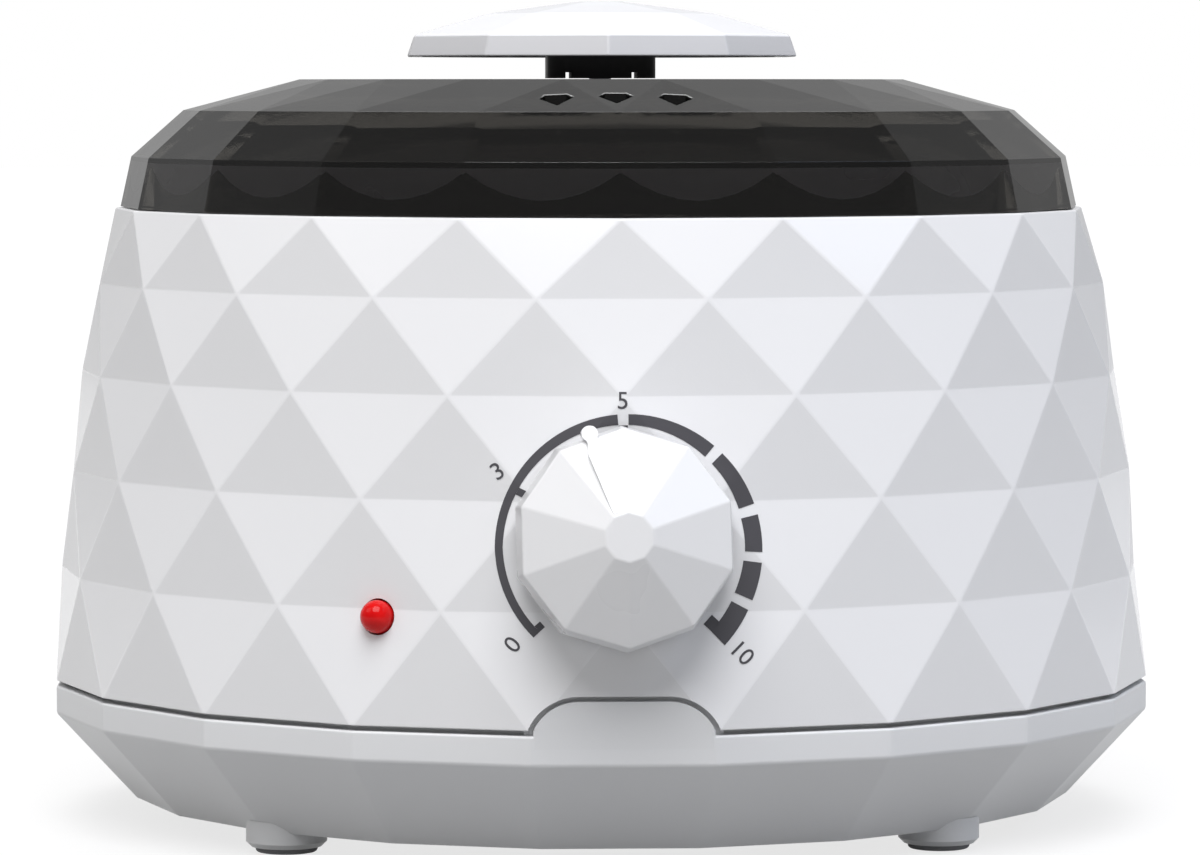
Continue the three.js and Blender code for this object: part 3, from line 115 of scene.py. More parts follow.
# The rays that see the white background: the camera's, and those in glass and metal.
def seenRays(tree, glossyShare=None):
    path = tree.nodes.new("ShaderNodeLightPath")
    glossy = (path, "Is Glossy Ray")
    if glossyShare:
        glossy = (newMath(tree, "MULTIPLY", glossy, (glossyShare, 0)), 0)
    direct = newMath(tree, "MAXIMUM", (path, "Is Camera Ray"), (path, "Is Transmission Ray"))
    return newMath(tree, "MAXIMUM", (direct, 0), glossy)


def backdropShare(tree):  # reflections see the backdrop behind the object and a dimmer room elsewhere
    direction = tree.nodes.new("ShaderNodeTexCoord")
    split = tree.nodes.new("ShaderNodeSeparateXYZ")
    link(tree, direction, "Generated", split, 0)
    ramps = []
    for axis, (start, end), levels in (
        ("Z", studio["backdropFade"], (studio["backdropLevel"], 0)),
        ("Y", studio["backdropBehind"], (0, 1)),
    ):
        ramp = tree.nodes.new("ShaderNodeMapRange")
        ramp.inputs["From Min"].default_value = start
        ramp.inputs["From Max"].default_value = end
        ramp.inputs["To Min"].default_value, ramp.inputs["To Max"].default_value = levels
        link(tree, split, axis, ramp, "Value")
        ramps.append((ramp, 0))
    return newMath(tree, "MULTIPLY", *ramps)


def coloured(tree, kind, colour, strength=None):
    node = tree.nodes.new(kind)
    node.inputs["Color"].default_value = colour
    if strength is not None:
        node.inputs["Strength"].default_value = strength
    return node


def mixed(tree, first, second, share):  # share is a number or a node
    mix = tree.nodes.new("ShaderNodeMixShader")
    if isinstance(share, float):
        mix.inputs[0].default_value = share
    else:
        link(tree, share, 0, mix, 0)
    link(tree, first, 0, mix, 1)
    link(tree, second, 0, mix, 2)
    return mix


def makeLight():
    world = bpy.data.worlds.new("studioWorld")
    world.use_nodes = True
    tree = world.node_tree
    tree.nodes.clear()
    seen = seenRays(tree, backdropShare(tree))
    light = coloured(tree, "ShaderNodeBackground", (1, 1, 1, 1), studio["worldLight"])
    backdrop = coloured(tree, "ShaderNodeBackground", (1, 1, 1, 1), studio["backdropLight"])
    output = tree.nodes.new("ShaderNodeOutputWorld")
    link(tree, mixed(tree, light, backdrop, seen), 0, output, 0)
    bpy.context.scene.world = world

    for name, (turn, up, strength, width, colour) in studio["lamps"].items():
        lampData = bpy.data.lights.new(name + "Lamp", "SUN")
        lampData.energy = strength
        lampData.angle = math.radians(width)
        lampData.color = colour
        lamp = bpy.data.objects.new(name + "Lamp", lampData)
        bpy.context.scene.collection.objects.link(lamp)
        lamp.rotation_euler = (math.radians(90 - up), 0, math.radians(turn))
        lamp.visible_transmission = False  # no glints through the corners of the smoked lid
        lamp.location = lamp.rotation_euler.to_matrix() @ Vector((0, 0, studio["lampDistance"]))


def makeFloor():
    floorMesh = bpy.data.meshes.new("floor")
    sheet = bmesh.new()
    bmesh.ops.create_grid(sheet, x_segments=2, y_segments=2, size=studio["floorSize"])
    sheet.to_mesh(floorMesh)
    sheet.free()
    floor = bpy.data.objects.new("floor", floorMesh)
    bpy.context.scene.collection.objects.link(floor)
    floor.location.z = -studio["floorDrop"]
    material = bpy.data.materials.new("paleFloor")
    material.use_nodes = True
    tree = material.node_tree
    tree.nodes.clear()
    bounce = coloured(tree, "ShaderNodeBsdfDiffuse", studio["floorBounce"])
    matt = coloured(tree, "ShaderNodeBsdfDiffuse", studio["floorColour"])
    white = coloured(tree, "ShaderNodeEmission", (1, 1, 1, 1), studio["floorLevel"])
    shown = mixed(tree, matt, white, studio["floorWhite"])
    output = tree.nodes.new("ShaderNodeOutputMaterial")
    link(tree, mixed(tree, bounce, shown, seenRays(tree)), 0, output, 0)
    floorMesh.materials.append(material)


makeLight()
makeFloor()
bpy.context.scene.view_settings.view_transform = "Standard"
print("camera and studio ready")


# Finishes

finishes = {}
grainOf = {  # sizes per metre, shares of the finish's own colour and roughness
    "noiseSpan": (0.3, 0.7),  # the part of a noise that is used
    "bumpDistance": 0.0002,
    "coatRoughness": 0.08,
    "flow": 14,
    "flowShares": (0.99, 1.01),
    "polish": 60,
    "polishShares": (0.96, 1.05),
    "metalCloud": 30,
    "metalCloudShares": (0.93, 1.04),
    "metalPolishShares": (0.75, 1.3),
    "smokePolish": 45,
    "smokePolishShares": (0.7, 1.4),
    "smokeCloud": 11,
    "smokeCloudShares": (0.9, 1.1),
    "smokeSkin": 250,
    "smokeSkinDepth": 0.03,
    "smokeIndex": 1.49,
}


def startMaterial(name, colour, roughness, metallic=0.0):
    material = bpy.data.materials.new(name)
    material.use_nodes = True
    tree = material.node_tree
    shader = tree.nodes["Principled BSDF"]
    shader.inputs["Base Color"].default_value = (*colour, 1)
    shader.inputs["Roughness"].default_value = roughness
    shader.inputs["Metallic"].default_value = metallic
    source = (tree.nodes.new("ShaderNodeTexCoord"), "Object")
    finishes[name] = material
    return tree, shader, source


def noiseAt(tree, source, scale, detail=3.0):
    noise = tree.nodes.new("ShaderNodeTexNoise")
    noise.inputs["Scale"].default_value = scale
    noise.inputs["Detail"].default_value = detail
    link(tree, *source, noise, "Vector")
    return noise


def varyRoughness(tree, shader, noise, roughness, shares):
    spread = tree.nodes.new("ShaderNodeMapRange")
    spread.inputs["From Min"].default_value, spread.inputs["From Max"].default_value = grainOf["noiseSpan"]
    spread.inputs["To Min"].default_value = roughness * shares[0]
    spread.inputs["To Max"].default_value = roughness * shares[1]
    link(tree, noise, "Fac", spread, "Value")
    link(tree, spread, "Result", shader, "Roughness")


def varyColour(tree, shader, noise, colours):
    ramp = tree.nodes.new("ShaderNodeValToRGB")
    for element, position, colour in zip(ramp.color_ramp.elements, grainOf["noiseSpan"], colours):
        element.position = position
        element.color = (*colour, 1)
    link(tree, noise, "Fac", ramp, "Fac")
    link(tree, ramp, "Color", shader, "Base Color")


def addBump(tree, shader, noise, strength):
    bump = tree.nodes.new("ShaderNodeBump")
    bump.inputs["Strength"].default_value = strength
    bump.inputs["Distance"].default_value = grainOf["bumpDistance"]
    link(tree, noise, "Fac", bump, "Height")
    link(tree, bump, "Normal", shader, "Normal")


def shades(colour, shares):
    return [tuple(min(1.0, channel * share) for channel in colour) for share in shares]


# Moulded plastic: a faint flow of tone, a patchy polish and the fine skin of the mould.
def mouldedPlastic(name, colour, roughness, skin=0.02, coat=0.0, grain=2600):
    tree, shader, source = startMaterial(name, colour, roughness)
    shader.inputs["Coat Weight"].default_value = coat
    shader.inputs["Coat Roughness"].default_value = grainOf["coatRoughness"]
    flow = noiseAt(tree, source, grainOf["flow"], 2)
    varyColour(tree, shader, flow, shades(colour, grainOf["flowShares"]))
    polish = noiseAt(tree, source, grainOf["polish"], 2)
    varyRoughness(tree, shader, polish, roughness, grainOf["polishShares"])
    addBump(tree, shader, noiseAt(tree, source, grain, 2), skin)


def ringSource(tree, source):  # distance from the body's axis and height, for spun metal
    offset = tree.nodes.new("ShaderNodeVectorMath")
    offset.operation = "SUBTRACT"
    offset.inputs[1].default_value = (0, axisY, 0)
    flat = tree.nodes.new("ShaderNodeVectorMath")
    flat.operation = "MULTIPLY"
    flat.inputs[1].default_value = (1, 1, 0)
    reach = tree.nodes.new("ShaderNodeVectorMath")
    reach.operation = "LENGTH"
    split = tree.nodes.new("ShaderNodeSeparateXYZ")
    joined = tree.nodes.new("ShaderNodeCombineXYZ")
    link(tree, *source, offset, 0)
    link(tree, offset, 0, flat, 0)
    link(tree, flat, 0, reach, 0)
    link(tree, offset, 0, split, 0)
    link(tree, reach, "Value", joined, "X")
    link(tree, split, "Z", joined, "Z")
    return joined, "Vector"


# Metal with the marks of its turning, drawing or plating.
def workedMetal(name, colour, roughness, scale, depth, spun=False):
    tree, shader, source = startMaterial(name, colour, roughness, 1.0)
    lines = noiseAt(tree, ringSource(tree, source) if spun else source, scale)
    varyRoughness(tree, shader, lines, roughness, grainOf["metalPolishShares"])
    cloud = noiseAt(tree, source, grainOf["metalCloud"])
    varyColour(tree, shader, cloud, shades(colour, grainOf["metalCloudShares"]))
    addBump(tree, shader, lines, depth)


def smokedPlastic(name, colour, roughness, clear):
    tree, shader, source = startMaterial(name, colour, roughness)
    shader.inputs["Transmission Weight"].default_value = clear
    shader.inputs["IOR"].default_value = grainOf["smokeIndex"]
    polish = noiseAt(tree, source, grainOf["smokePolish"])
    varyRoughness(tree, shader, polish, roughness, grainOf["smokePolishShares"])
    cloud = noiseAt(tree, source, grainOf["smokeCloud"], 2)
    varyColour(tree, shader, cloud, shades(colour, grainOf["smokeCloudShares"]))
    addBump(tree, shader, noiseAt(tree, source, grainOf["smokeSkin"], 2), grainOf["smokeSkinDepth"])


mouldedPlastic("whiteShell", (0.83, 0.83, 0.84), 0.24, coat=0.3)
# painted shade: a greyer white for the housing facets that point up, which tilt less towards the light
mouldedPlastic("paintedShadeFacet", (0.735, 0.735, 0.742), 0.33, skin=0.04, coat=0.1)
mouldedPlastic("whiteBase", (0.705, 0.71, 0.717), 0.42)
mouldedPlastic("whiteKnob", (0.79, 0.79, 0.797), 0.28, coat=0.2)
mouldedPlastic("whiteCap", (0.82, 0.82, 0.84), 0.26, coat=0.25)
# painted shade: a darker grey for the cap's upright side facets, which face the light less than its slopes
mouldedPlastic("paintedShadeCapSide", (0.6, 0.6, 0.615), 0.45)
mouldedPlastic("blackSatin", (0.016, 0.016, 0.018), 0.42, skin=0.12, grain=1400)
mouldedPlastic("dialPrint", (0.062, 0.060, 0.068), 0.5, skin=0.02)
mouldedPlastic("padRubber", (0.27, 0.27, 0.28), 0.85, skin=0.3, grain=1600)
mouldedPlastic("firedCeramic", (0.78, 0.75, 0.69), 0.62, skin=0.25, grain=1500)
mouldedPlastic("micaSheet", (0.38, 0.27, 0.14), 0.55, skin=0.35, grain=350)
mouldedPlastic("brownSleeve", (0.15, 0.05, 0.015), 0.5, skin=0.15)
mouldedPlastic("blueSleeve", (0.02, 0.08, 0.38), 0.5, skin=0.15)
mouldedPlastic("redSleeve", (0.4, 0.02, 0.012), 0.55, skin=0.2)
smokedPlastic("smokedLid", (0.05, 0.047, 0.042), 0.06, 0.95)
smokedPlastic("smokedInsidePaintedLight", (0.55, 0.55, 0.65), 0.3, 0.3)  # the lid's flat inner facets, a little frosted, and paler and bluer than the smoke: painted light, standing in for the light seen in the band's arcs
workedMetal("spunAluminium", (0.72, 0.72, 0.725), 0.3, 700, 0.08, spun=True)
workedMetal("platedSteel", (0.6, 0.6, 0.62), 0.24, 120, 0.02)
workedMetal("turnedBrass", (0.72, 0.55, 0.25), 0.3, 400, 0.08)


lensFinish = {
    "colour": (0.66, 0.006, 0.006),
    "colours": ((0.58, 0.004, 0.005), (0.7, 0.008, 0.008)),
    "roughness": 0.1,
    "roughnessShares": (1, 1.6),
    "specular": 0.12,
    "coat": 0.1,
    "coatRoughness": 0.03,
    "cloud": 500,
    "polish": 300,
}


def makeLensFinish():
    tree, shader, source = startMaterial("redLens", lensFinish["colour"], lensFinish["roughness"])
    shader.inputs["Specular IOR Level"].default_value = lensFinish["specular"]
    shader.inputs["Coat Weight"].default_value = lensFinish["coat"]
    shader.inputs["Coat Roughness"].default_value = lensFinish["coatRoughness"]
    varyColour(tree, shader, noiseAt(tree, source, lensFinish["cloud"], 2), lensFinish["colours"])
    polish = noiseAt(tree, source, lensFinish["polish"], 2)
    varyRoughness(tree, shader, polish, lensFinish["roughness"], lensFinish["roughnessShares"])


makeLensFinish()
print("finishes ready:", len(finishes))


# Modelling: shapes are made in millimetres round the body's axis, and finishPiece puts them in place

toRow = Matrix.Translation((0, axisY, 0)) @ Matrix.Scale(mm, 4)
upright = Matrix.Identity(4)
swung = Matrix(((0, 0, 1, 0), (1, 0, 0, 0), (0, 1, 0, 0), (0, 0, 0, 1)))  # X, Y and Z go to Y, Z and X
shapes = bpy.context.scene.collection
flatAngle = math.radians(0.3)  # faces flatter than this to each other are one
sameSpot = 0.0005  # corners closer than this are one
overrun = 3  # how far a cut goes past what it cuts
sunk = 0.5  # how far one form reaches into the form that it joins
rounds = {"skirt": 160, "vessel": 128, "deck": 96, "spot": 64, "hole": 48, "post": 40, "boss": 32, "bore": 24}


def turnZ(angle):
    return Matrix.Rotation(angle, 4, "Z")


def shift(x, y, z):
    return Matrix.Translation((x, y, z))


def frameOn(origin, outward):  # a frame whose Z points out of a surface
    outward = Vector(outward).normalized()
    sideways = Vector((0, 0, 1)).cross(outward).normalized()
    upwards = outward.cross(sideways)
    return Matrix.Translation(origin) @ Matrix((sideways, upwards, outward)).transposed().to_4x4()


def solidFrom(shape, place=upright):
    shape.transform(place)
    bmesh.ops.recalc_face_normals(shape, faces=shape.faces)
    mesh = bpy.data.meshes.new("shape")
    shape.to_mesh(mesh)
    shape.free()
    solid = bpy.data.objects.new("shape", mesh)
    shapes.objects.link(solid)
    return solid


def settle(solid):  # makes the modifiers part of the mesh
    graph = bpy.context.evaluated_depsgraph_get()
    made = bpy.data.meshes.new_from_object(solid.evaluated_get(graph))
    old = solid.data
    solid.modifiers.clear()
    solid.data = made
    bpy.data.meshes.remove(old)


def combine(solid, tool, how):
    step = solid.modifiers.new(how, "BOOLEAN")
    step.operation = how
    step.solver = "EXACT"
    step.object = tool
    settle(solid)
    bpy.data.objects.remove(tool)
    return solid


def add(solid, tool):
    return combine(solid, tool, "UNION")


def cut(solid, tool):
    return combine(solid, tool, "DIFFERENCE")


def keepInside(solid, tool):
    return combine(solid, tool, "INTERSECT")


def bevelEdges(shape, edges, width, segments=2):
    bmesh.ops.bevel(
        shape, geom=edges, offset=width, offset_type="OFFSET", segments=segments,
        profile=0.5, affect="EDGES", clamp_overlap=True, material=-1,
    )


def roundEdges(shape, width, segments=2, sharper=1.0):  # sharper is the least angle, in degrees
    least = math.radians(sharper)
    edges = [edge for edge in shape.edges if edge.is_manifold and edge.calc_face_angle(0) > least]
    bevelEdges(shape, edges, width, segments)


# A faceted form: rows of corners (radius, height, turn in columns), bridged row to row. A turn of half a
# column between two rows makes triangles, along the shorter diagonals.
def facetedShape(rows, columns, rounding=0.0, segments=2):
    shape = bmesh.new()
    below = None
    for i, (radius, height, turn) in enumerate(rows):
        place = shift(0, 0, height) @ turnZ(turn * fullTurn / columns)
        closed = i in (0, len(rows) - 1)
        made = bmesh.ops.create_circle(shape, segments=columns, radius=radius, matrix=place, cap_ends=closed)
        row = set(made["verts"])
        edges = [edge for edge in shape.edges if row.issuperset(edge.verts)]
        if below:
            bmesh.ops.bridge_loops(shape, edges=below + edges)
        below = edges
    fourSided = [face for face in shape.faces if len(face.verts) == 4]
    bmesh.ops.triangulate(shape, faces=fourSided, quad_method="SHORT_EDGE")
    bmesh.ops.recalc_face_normals(shape, faces=shape.faces)
    bmesh.ops.dissolve_limit(shape, angle_limit=flatAngle, verts=shape.verts, edges=shape.edges)
    if rounding:
        roundEdges(shape, rounding, segments)
    return shape


# A form turned round Z from a closed outline of (radius, height).
def turnedShape(outline, steps=rounds["deck"]):
    shape = bmesh.new()
    corners = [shape.verts.new((radius, 0, height)) for radius, height in outline]
    pairs = list(zip(corners, corners[1:]))
    if outline[0][0] > 0 or outline[-1][0] > 0:
        pairs.append((corners[-1], corners[0]))
    edges = [shape.edges.new(pair) for pair in pairs]
    bmesh.ops.spin(
        shape, geom=corners + edges, cent=(0, 0, 0), axis=(0, 0, 1),
        angle=fullTurn, steps=steps, use_merge=True,
    )
    bmesh.ops.remove_doubles(shape, verts=shape.verts, dist=sameSpot)
    return shape


def arcPoints(x, z, radius, start, end, steps):  # angles in degrees from the X axis
    points = []
    for i in range(steps + 1):
        angle = math.radians(start + (end - start) * i / steps)
        points.append((x + radius * math.cos(angle), z + radius * math.sin(angle)))
    return points


def blockShape(low, high, rounding=0.0, segments=2):
    shape = bmesh.new()
    bmesh.ops.create_cube(shape, size=1)
    size = [top - bottom for bottom, top in zip(low, high)]
    middle = [(top + bottom) / 2 for bottom, top in zip(low, high)]
    bmesh.ops.scale(shape, vec=size, verts=shape.verts)
    bmesh.ops.translate(shape, vec=middle, verts=shape.verts)
    if rounding:
        roundEdges(shape, rounding, segments)
    return shape


def raisedShape(outline, bottom, top):  # an outline in X and Y raised between two heights
    shape = bmesh.new()
    face = shape.faces.new([shape.verts.new((x, y, bottom)) for x, y in outline])
    grown = bmesh.ops.extrude_face_region(shape, geom=[face])
    moved = [item for item in grown["geom"] if isinstance(item, bmesh.types.BMVert)]
    bmesh.ops.translate(shape, vec=(0, 0, top - bottom), verts=moved)
    return shape


def roundedOutline(width, depth, corner, steps=6):
    x, y = width / 2 - corner, depth / 2 - corner
    outline = arcPoints(x, y, corner, 0, 90, steps) + arcPoints(-x, y, corner, 90, 180, steps)
    return outline + arcPoints(-x, -y, corner, 180, 270, steps) + arcPoints(x, -y, corner, 270, 360, steps)


def drumShape(radius, bottom, top, steps=rounds["spot"]):
    return turnedShape([(0, bottom), (radius, bottom), (radius, top), (0, top)], steps)


def movedIn(rows, wall, columns):  # rows moved inwards by a wall, square to the slopes beside them
    flatness = math.cos(math.pi / columns)
    inner = []
    for i, (radius, height, turn) in enumerate(rows):
        below = rows[i - 1] if i else (radius, height - wall, turn)
        above = rows[i + 1] if i + 1 < len(rows) else (0, height, turn)
        lower = Vector((height - below[1], below[0] - radius)).normalized()
        upper = Vector((above[1] - height, radius - above[0])).normalized()
        side = (lower + upper) * wall / (1 + lower.dot(upper))
        inner.append((radius - side.x / flatness, height - side.y, turn))
    return inner


def around(radius, degrees):  # angle 0 is the front and +90 the right
    angle = math.radians(degrees)
    return radius * math.sin(angle), -radius * math.cos(angle)


# The last step of every piece: metres, finish, shading, body and the node it stands for.
def finishPiece(solid, name, finish, body, stands=(), smooth=32, place=None):
    mesh = solid.data
    mesh.transform(place if place else toRow)
    solid.name = mesh.name = name
    mesh.materials.clear()
    mesh.materials.append(finishes[finish])
    mesh.polygons.foreach_set("use_smooth", [True] * len(mesh.polygons))
    mesh.set_sharp_from_angle(angle=math.radians(smooth))
    even = solid.modifiers.new("evenNormals", "WEIGHTED_NORMAL")
    even.keep_sharp = True
    even.weight = 80
    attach(solid, body)
    if stands:
        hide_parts(*stands)
    print("piece", name, len(mesh.polygons), "faces")


# Housing

housing = {
    "columns": 20,
    "seamRadius": 100,
    "seamHeight": 25.5,
    "facetedHeight": 85,
    "radiusShares": (1, 0.985, 0.967, 0.946, 0.918, 0.884),
    "heightShares": (0, 0.231, 0.447, 0.653, 0.843, 1),
    "wall": 2.0,
    "edgeRounding": 0.32,
    "seamGap": 0.85,
    "deckTop": 104,
    "deckThickness": 2.6,
    "deckHole": 67.84,
    "mouthTaper": 0.75,
    "columnRadius": 4.5,
    "columnFoot": 24,
    "columnBore": 2,
    "columnBoreTop": 42,
    "legCircle": 80.3,
    "screwCircle": 79.54,
    "bossRadius": 3.5,
    "bossLength": 8,
    "screwBore": 1.5,
    "screwBoreReach": 9,  # each way from the deck's underside
    "beyond": 120,  # past everything
    "rayStart": 200,
}
columns = housing["columns"]
seamHeight = housing["seamHeight"]
rimHeight = seamHeight + housing["facetedHeight"]
rimRadius = housing["seamRadius"] * housing["radiusShares"][-1]
legAngles = (-45, 45, 135, -135)
screwAngles = (0, 90, 180, 270)
housingRows = [
    (share * housing["seamRadius"], seamHeight + rise * housing["facetedHeight"], 0.5 if i % 2 == 0 else 0)
    for i, (share, rise) in enumerate(zip(housing["radiusShares"], housing["heightShares"]))
]
skinShape = facetedShape(housingRows, columns)
skinTree = BVHTree.FromBMesh(skinShape)
skinShape.free()


def frameOnSkin(degrees, height):
    x, y = around(housing["rayStart"], degrees)
    start = Vector((x, y, seamHeight + height))
    place, outward, _, _ = skinTree.ray_cast(start, Vector((-x, -y, 0)).normalized())
    return frameOn(place, outward)


dial = {
    "height": 31.8,
    "tilt": 5.6,
    "rest": 19.4,
    "spotRadius": 8.5,
    "spotDepth": 0.9,
    "bushHole": 4.8,
    "bushHoleDepth": 8,
    "panelRadius": 15,
    "panelDepths": (3.6, 1.0),
}
lamp = {"angle": -24.8, "height": 18.3, "radius": 2.8, "hole": 3.1}
gland = {"height": 13.5, "padRadius": 9.6, "padInside": 4.2, "padRise": 1.2, "hole": 6.3, "holeSpan": (-6, 5)}
dialPlace = frameOnSkin(0, dial["height"]).to_translation()
dialTilt = math.radians(dial["tilt"])
dialFrame = frameOn(dialPlace, (0, -math.cos(dialTilt), math.sin(dialTilt)))
lampFrame = frameOnSkin(lamp["angle"], lamp["height"])
glandFrame = frameOnSkin(180, gland["height"])

tab = {
    "height": 4.9,
    "flatWidth": 15.2,
    "shoulder": 8.4,
    "steps": 14,
    "foot": 2.5,  # below the seam
    "thickness": 3.5,
    "edgeRounding": 0.3,
    "lip": 1.6,
    "lipGap": 0.3,
    "lipThickness": 1.3,
}


def tabShape(growth, foot, near, far):  # the front tab as an upright plate in front of the axis
    shoulder = tab["shoulder"] + growth
    x, z = tab["flatWidth"] / 2, tab["height"] - tab["shoulder"]
    start = math.degrees(math.asin(-z / tab["shoulder"]))
    outline = arcPoints(x, z, shoulder, start, 90, tab["steps"])
    outline += arcPoints(-x, z, shoulder, 90, 180 - start, tab["steps"])
    outline += [(outline[-1][0], foot), (outline[0][0], foot)]
    shape = raisedShape(outline, near, far)
    shape.transform(shift(0, 0, seamHeight) @ Matrix.Rotation(math.pi / 2, 4, "X"))
    return shape


def makeUpperHousing():
    wall = housing["wall"]
    shell = solidFrom(facetedShape(housingRows, columns, housing["edgeRounding"]))
    inner = [(radius - wall, height, turn) for radius, height, turn in housingRows]
    mouth = (inner[-1][0] - housing["mouthTaper"], rimHeight + overrun, 0)
    foot = (inner[0][0], seamHeight - overrun, 0.5)
    cut(shell, solidFrom(facetedShape([foot] + inner + [mouth], columns)))
    deckFoot = housing["deckTop"] - housing["deckThickness"]
    inWall = facetedShape([(radius + wall / 2, height, turn) for radius, height, turn in inner], columns)
    slab = drumShape(housing["beyond"], deckFoot, housing["deckTop"], 8)
    add(shell, keepInside(solidFrom(inWall), solidFrom(slab)))
    under, over = deckFoot - overrun, housing["deckTop"] + overrun
    cut(shell, solidFrom(drumShape(housing["deckHole"], under, over, rounds["deck"])))
    steps = rounds["hole"]
    pad = drumShape(gland["padRadius"], -gland["padInside"], gland["padRise"], steps)
    add(shell, solidFrom(pad, glandFrame))
    cut(shell, solidFrom(drumShape(gland["hole"], *gland["holeSpan"], steps), glandFrame))
    inside, outside = dial["panelDepths"]
    add(shell, solidFrom(drumShape(dial["panelRadius"], -inside, -outside, steps), dialFrame))
    cut(shell, solidFrom(drumShape(dial["bushHole"], -dial["bushHoleDepth"], overrun, steps), dialFrame))
    cut(shell, solidFrom(drumShape(dial["spotRadius"], -dial["spotDepth"], overrun), dialFrame))
    through = wall + overrun
    cut(shell, solidFrom(drumShape(lamp["hole"], -through, through, steps), lampFrame))
    front = housing["seamRadius"] * math.cos(math.pi / columns)
    cut(shell, solidFrom(tabShape(housing["seamGap"], -overrun, front - through, front + through)))
    radius, bore, boreTop = housing["columnRadius"], housing["columnBore"], housing["columnBoreTop"]
    outline = [(bore, housing["columnFoot"]), (radius, housing["columnFoot"]), (radius, deckFoot + sunk)]
    outline += [(0, deckFoot + sunk), (0, boreTop), (bore, boreTop)]
    for degrees in legAngles:
        x, y = around(housing["legCircle"], degrees)
        add(shell, solidFrom(turnedShape(outline, rounds["boss"]), shift(x, y, 0)))
    bossFoot, radius = deckFoot - housing["bossLength"], housing["bossRadius"]
    reach = housing["screwBoreReach"]
    for degrees in screwAngles:
        x, y = around(housing["screwCircle"], degrees)
        add(shell, solidFrom(drumShape(radius, bossFoot, deckFoot + sunk, rounds["boss"]), shift(x, y, 0)))
        bore = drumShape(housing["screwBore"], deckFoot - reach, deckFoot + reach, rounds["bore"])
        cut(shell, solidFrom(bore, shift(x, y, 0)))
    finishPiece(shell, "housingShell", "whiteShell", "housing", ["upper_housing"])
    # painted shade on the facets that point up
    refinish(shell.data, "paintedShadeFacet", pointsUp)


outwards = 0.9  # from this share on, a face points away from the axis


def facing(face):  # 1 where a face points away from the body's axis, -1 where it points at it
    return face.normal.dot((face.center - Vector((0, axisY, face.center.z))).normalized())


def refinish(mesh, finish, chosen):  # a second finish on the chosen faces
    mesh.materials.append(finishes[finish])
    for face in mesh.polygons:
        if chosen(face):
            face.material_index = len(mesh.materials) - 1


# The facets that point up are a duller white than those that point down, in every row, and greyer: painted
# shade, as they tilt less towards the light from above.
def pointsUp(face):
    row = sum(height * mm < face.center.z for _, height, _ in housingRows) - 1
    if not 0 <= row < len(housingRows) - 1 or facing(face) < outwards:
        return False
    lower, upper = housingRows[row], housingRows[row + 1]
    middle = math.atan2(lower[0] - upper[0], upper[1] - lower[1])
    turn = math.degrees(math.atan2(face.normal.x, -face.normal.y)) * columns / 360 - upper[2]
    return math.asin(face.normal.z) < middle and abs(turn - round(turn)) < 0.1


base = {
    "radius": 85.4,
    "foot": 3.8,  # table to the underside
    "bandFoot": 19.65,
    "floorRise": 1,  # the hollow's bend above the band's foot
    "edgeRounding": 0.45,
    "lipHeight": 2.5,
    "lipStep": 0.2,
    "lipGap": 0.8,
    "lipThickness": 1.4,
    "legRadius": 7.05,
    "legEnd": 1.0,
    "legChamfer": 0.9,
    "postRadius": 5.0,
    "postTop": 22.1,
    "padHole": 5.6,
    "padHoleTop": 2.5,
    "headHole": 3.3,
    "headHoleTop": 8,
    "screwHole": 1.7,
    "screwHoleTop": 30,
    "vents": 6,
    "ventCircle": 42,
    "ventWidth": 3,
    "ventLength": 20,
    "ventCorner": 1.45,
}


def uprightRing(radius, bottom, top):
    return solidFrom(facetedShape([(radius, bottom, 0.5), (radius, top, 0.5)], columns))


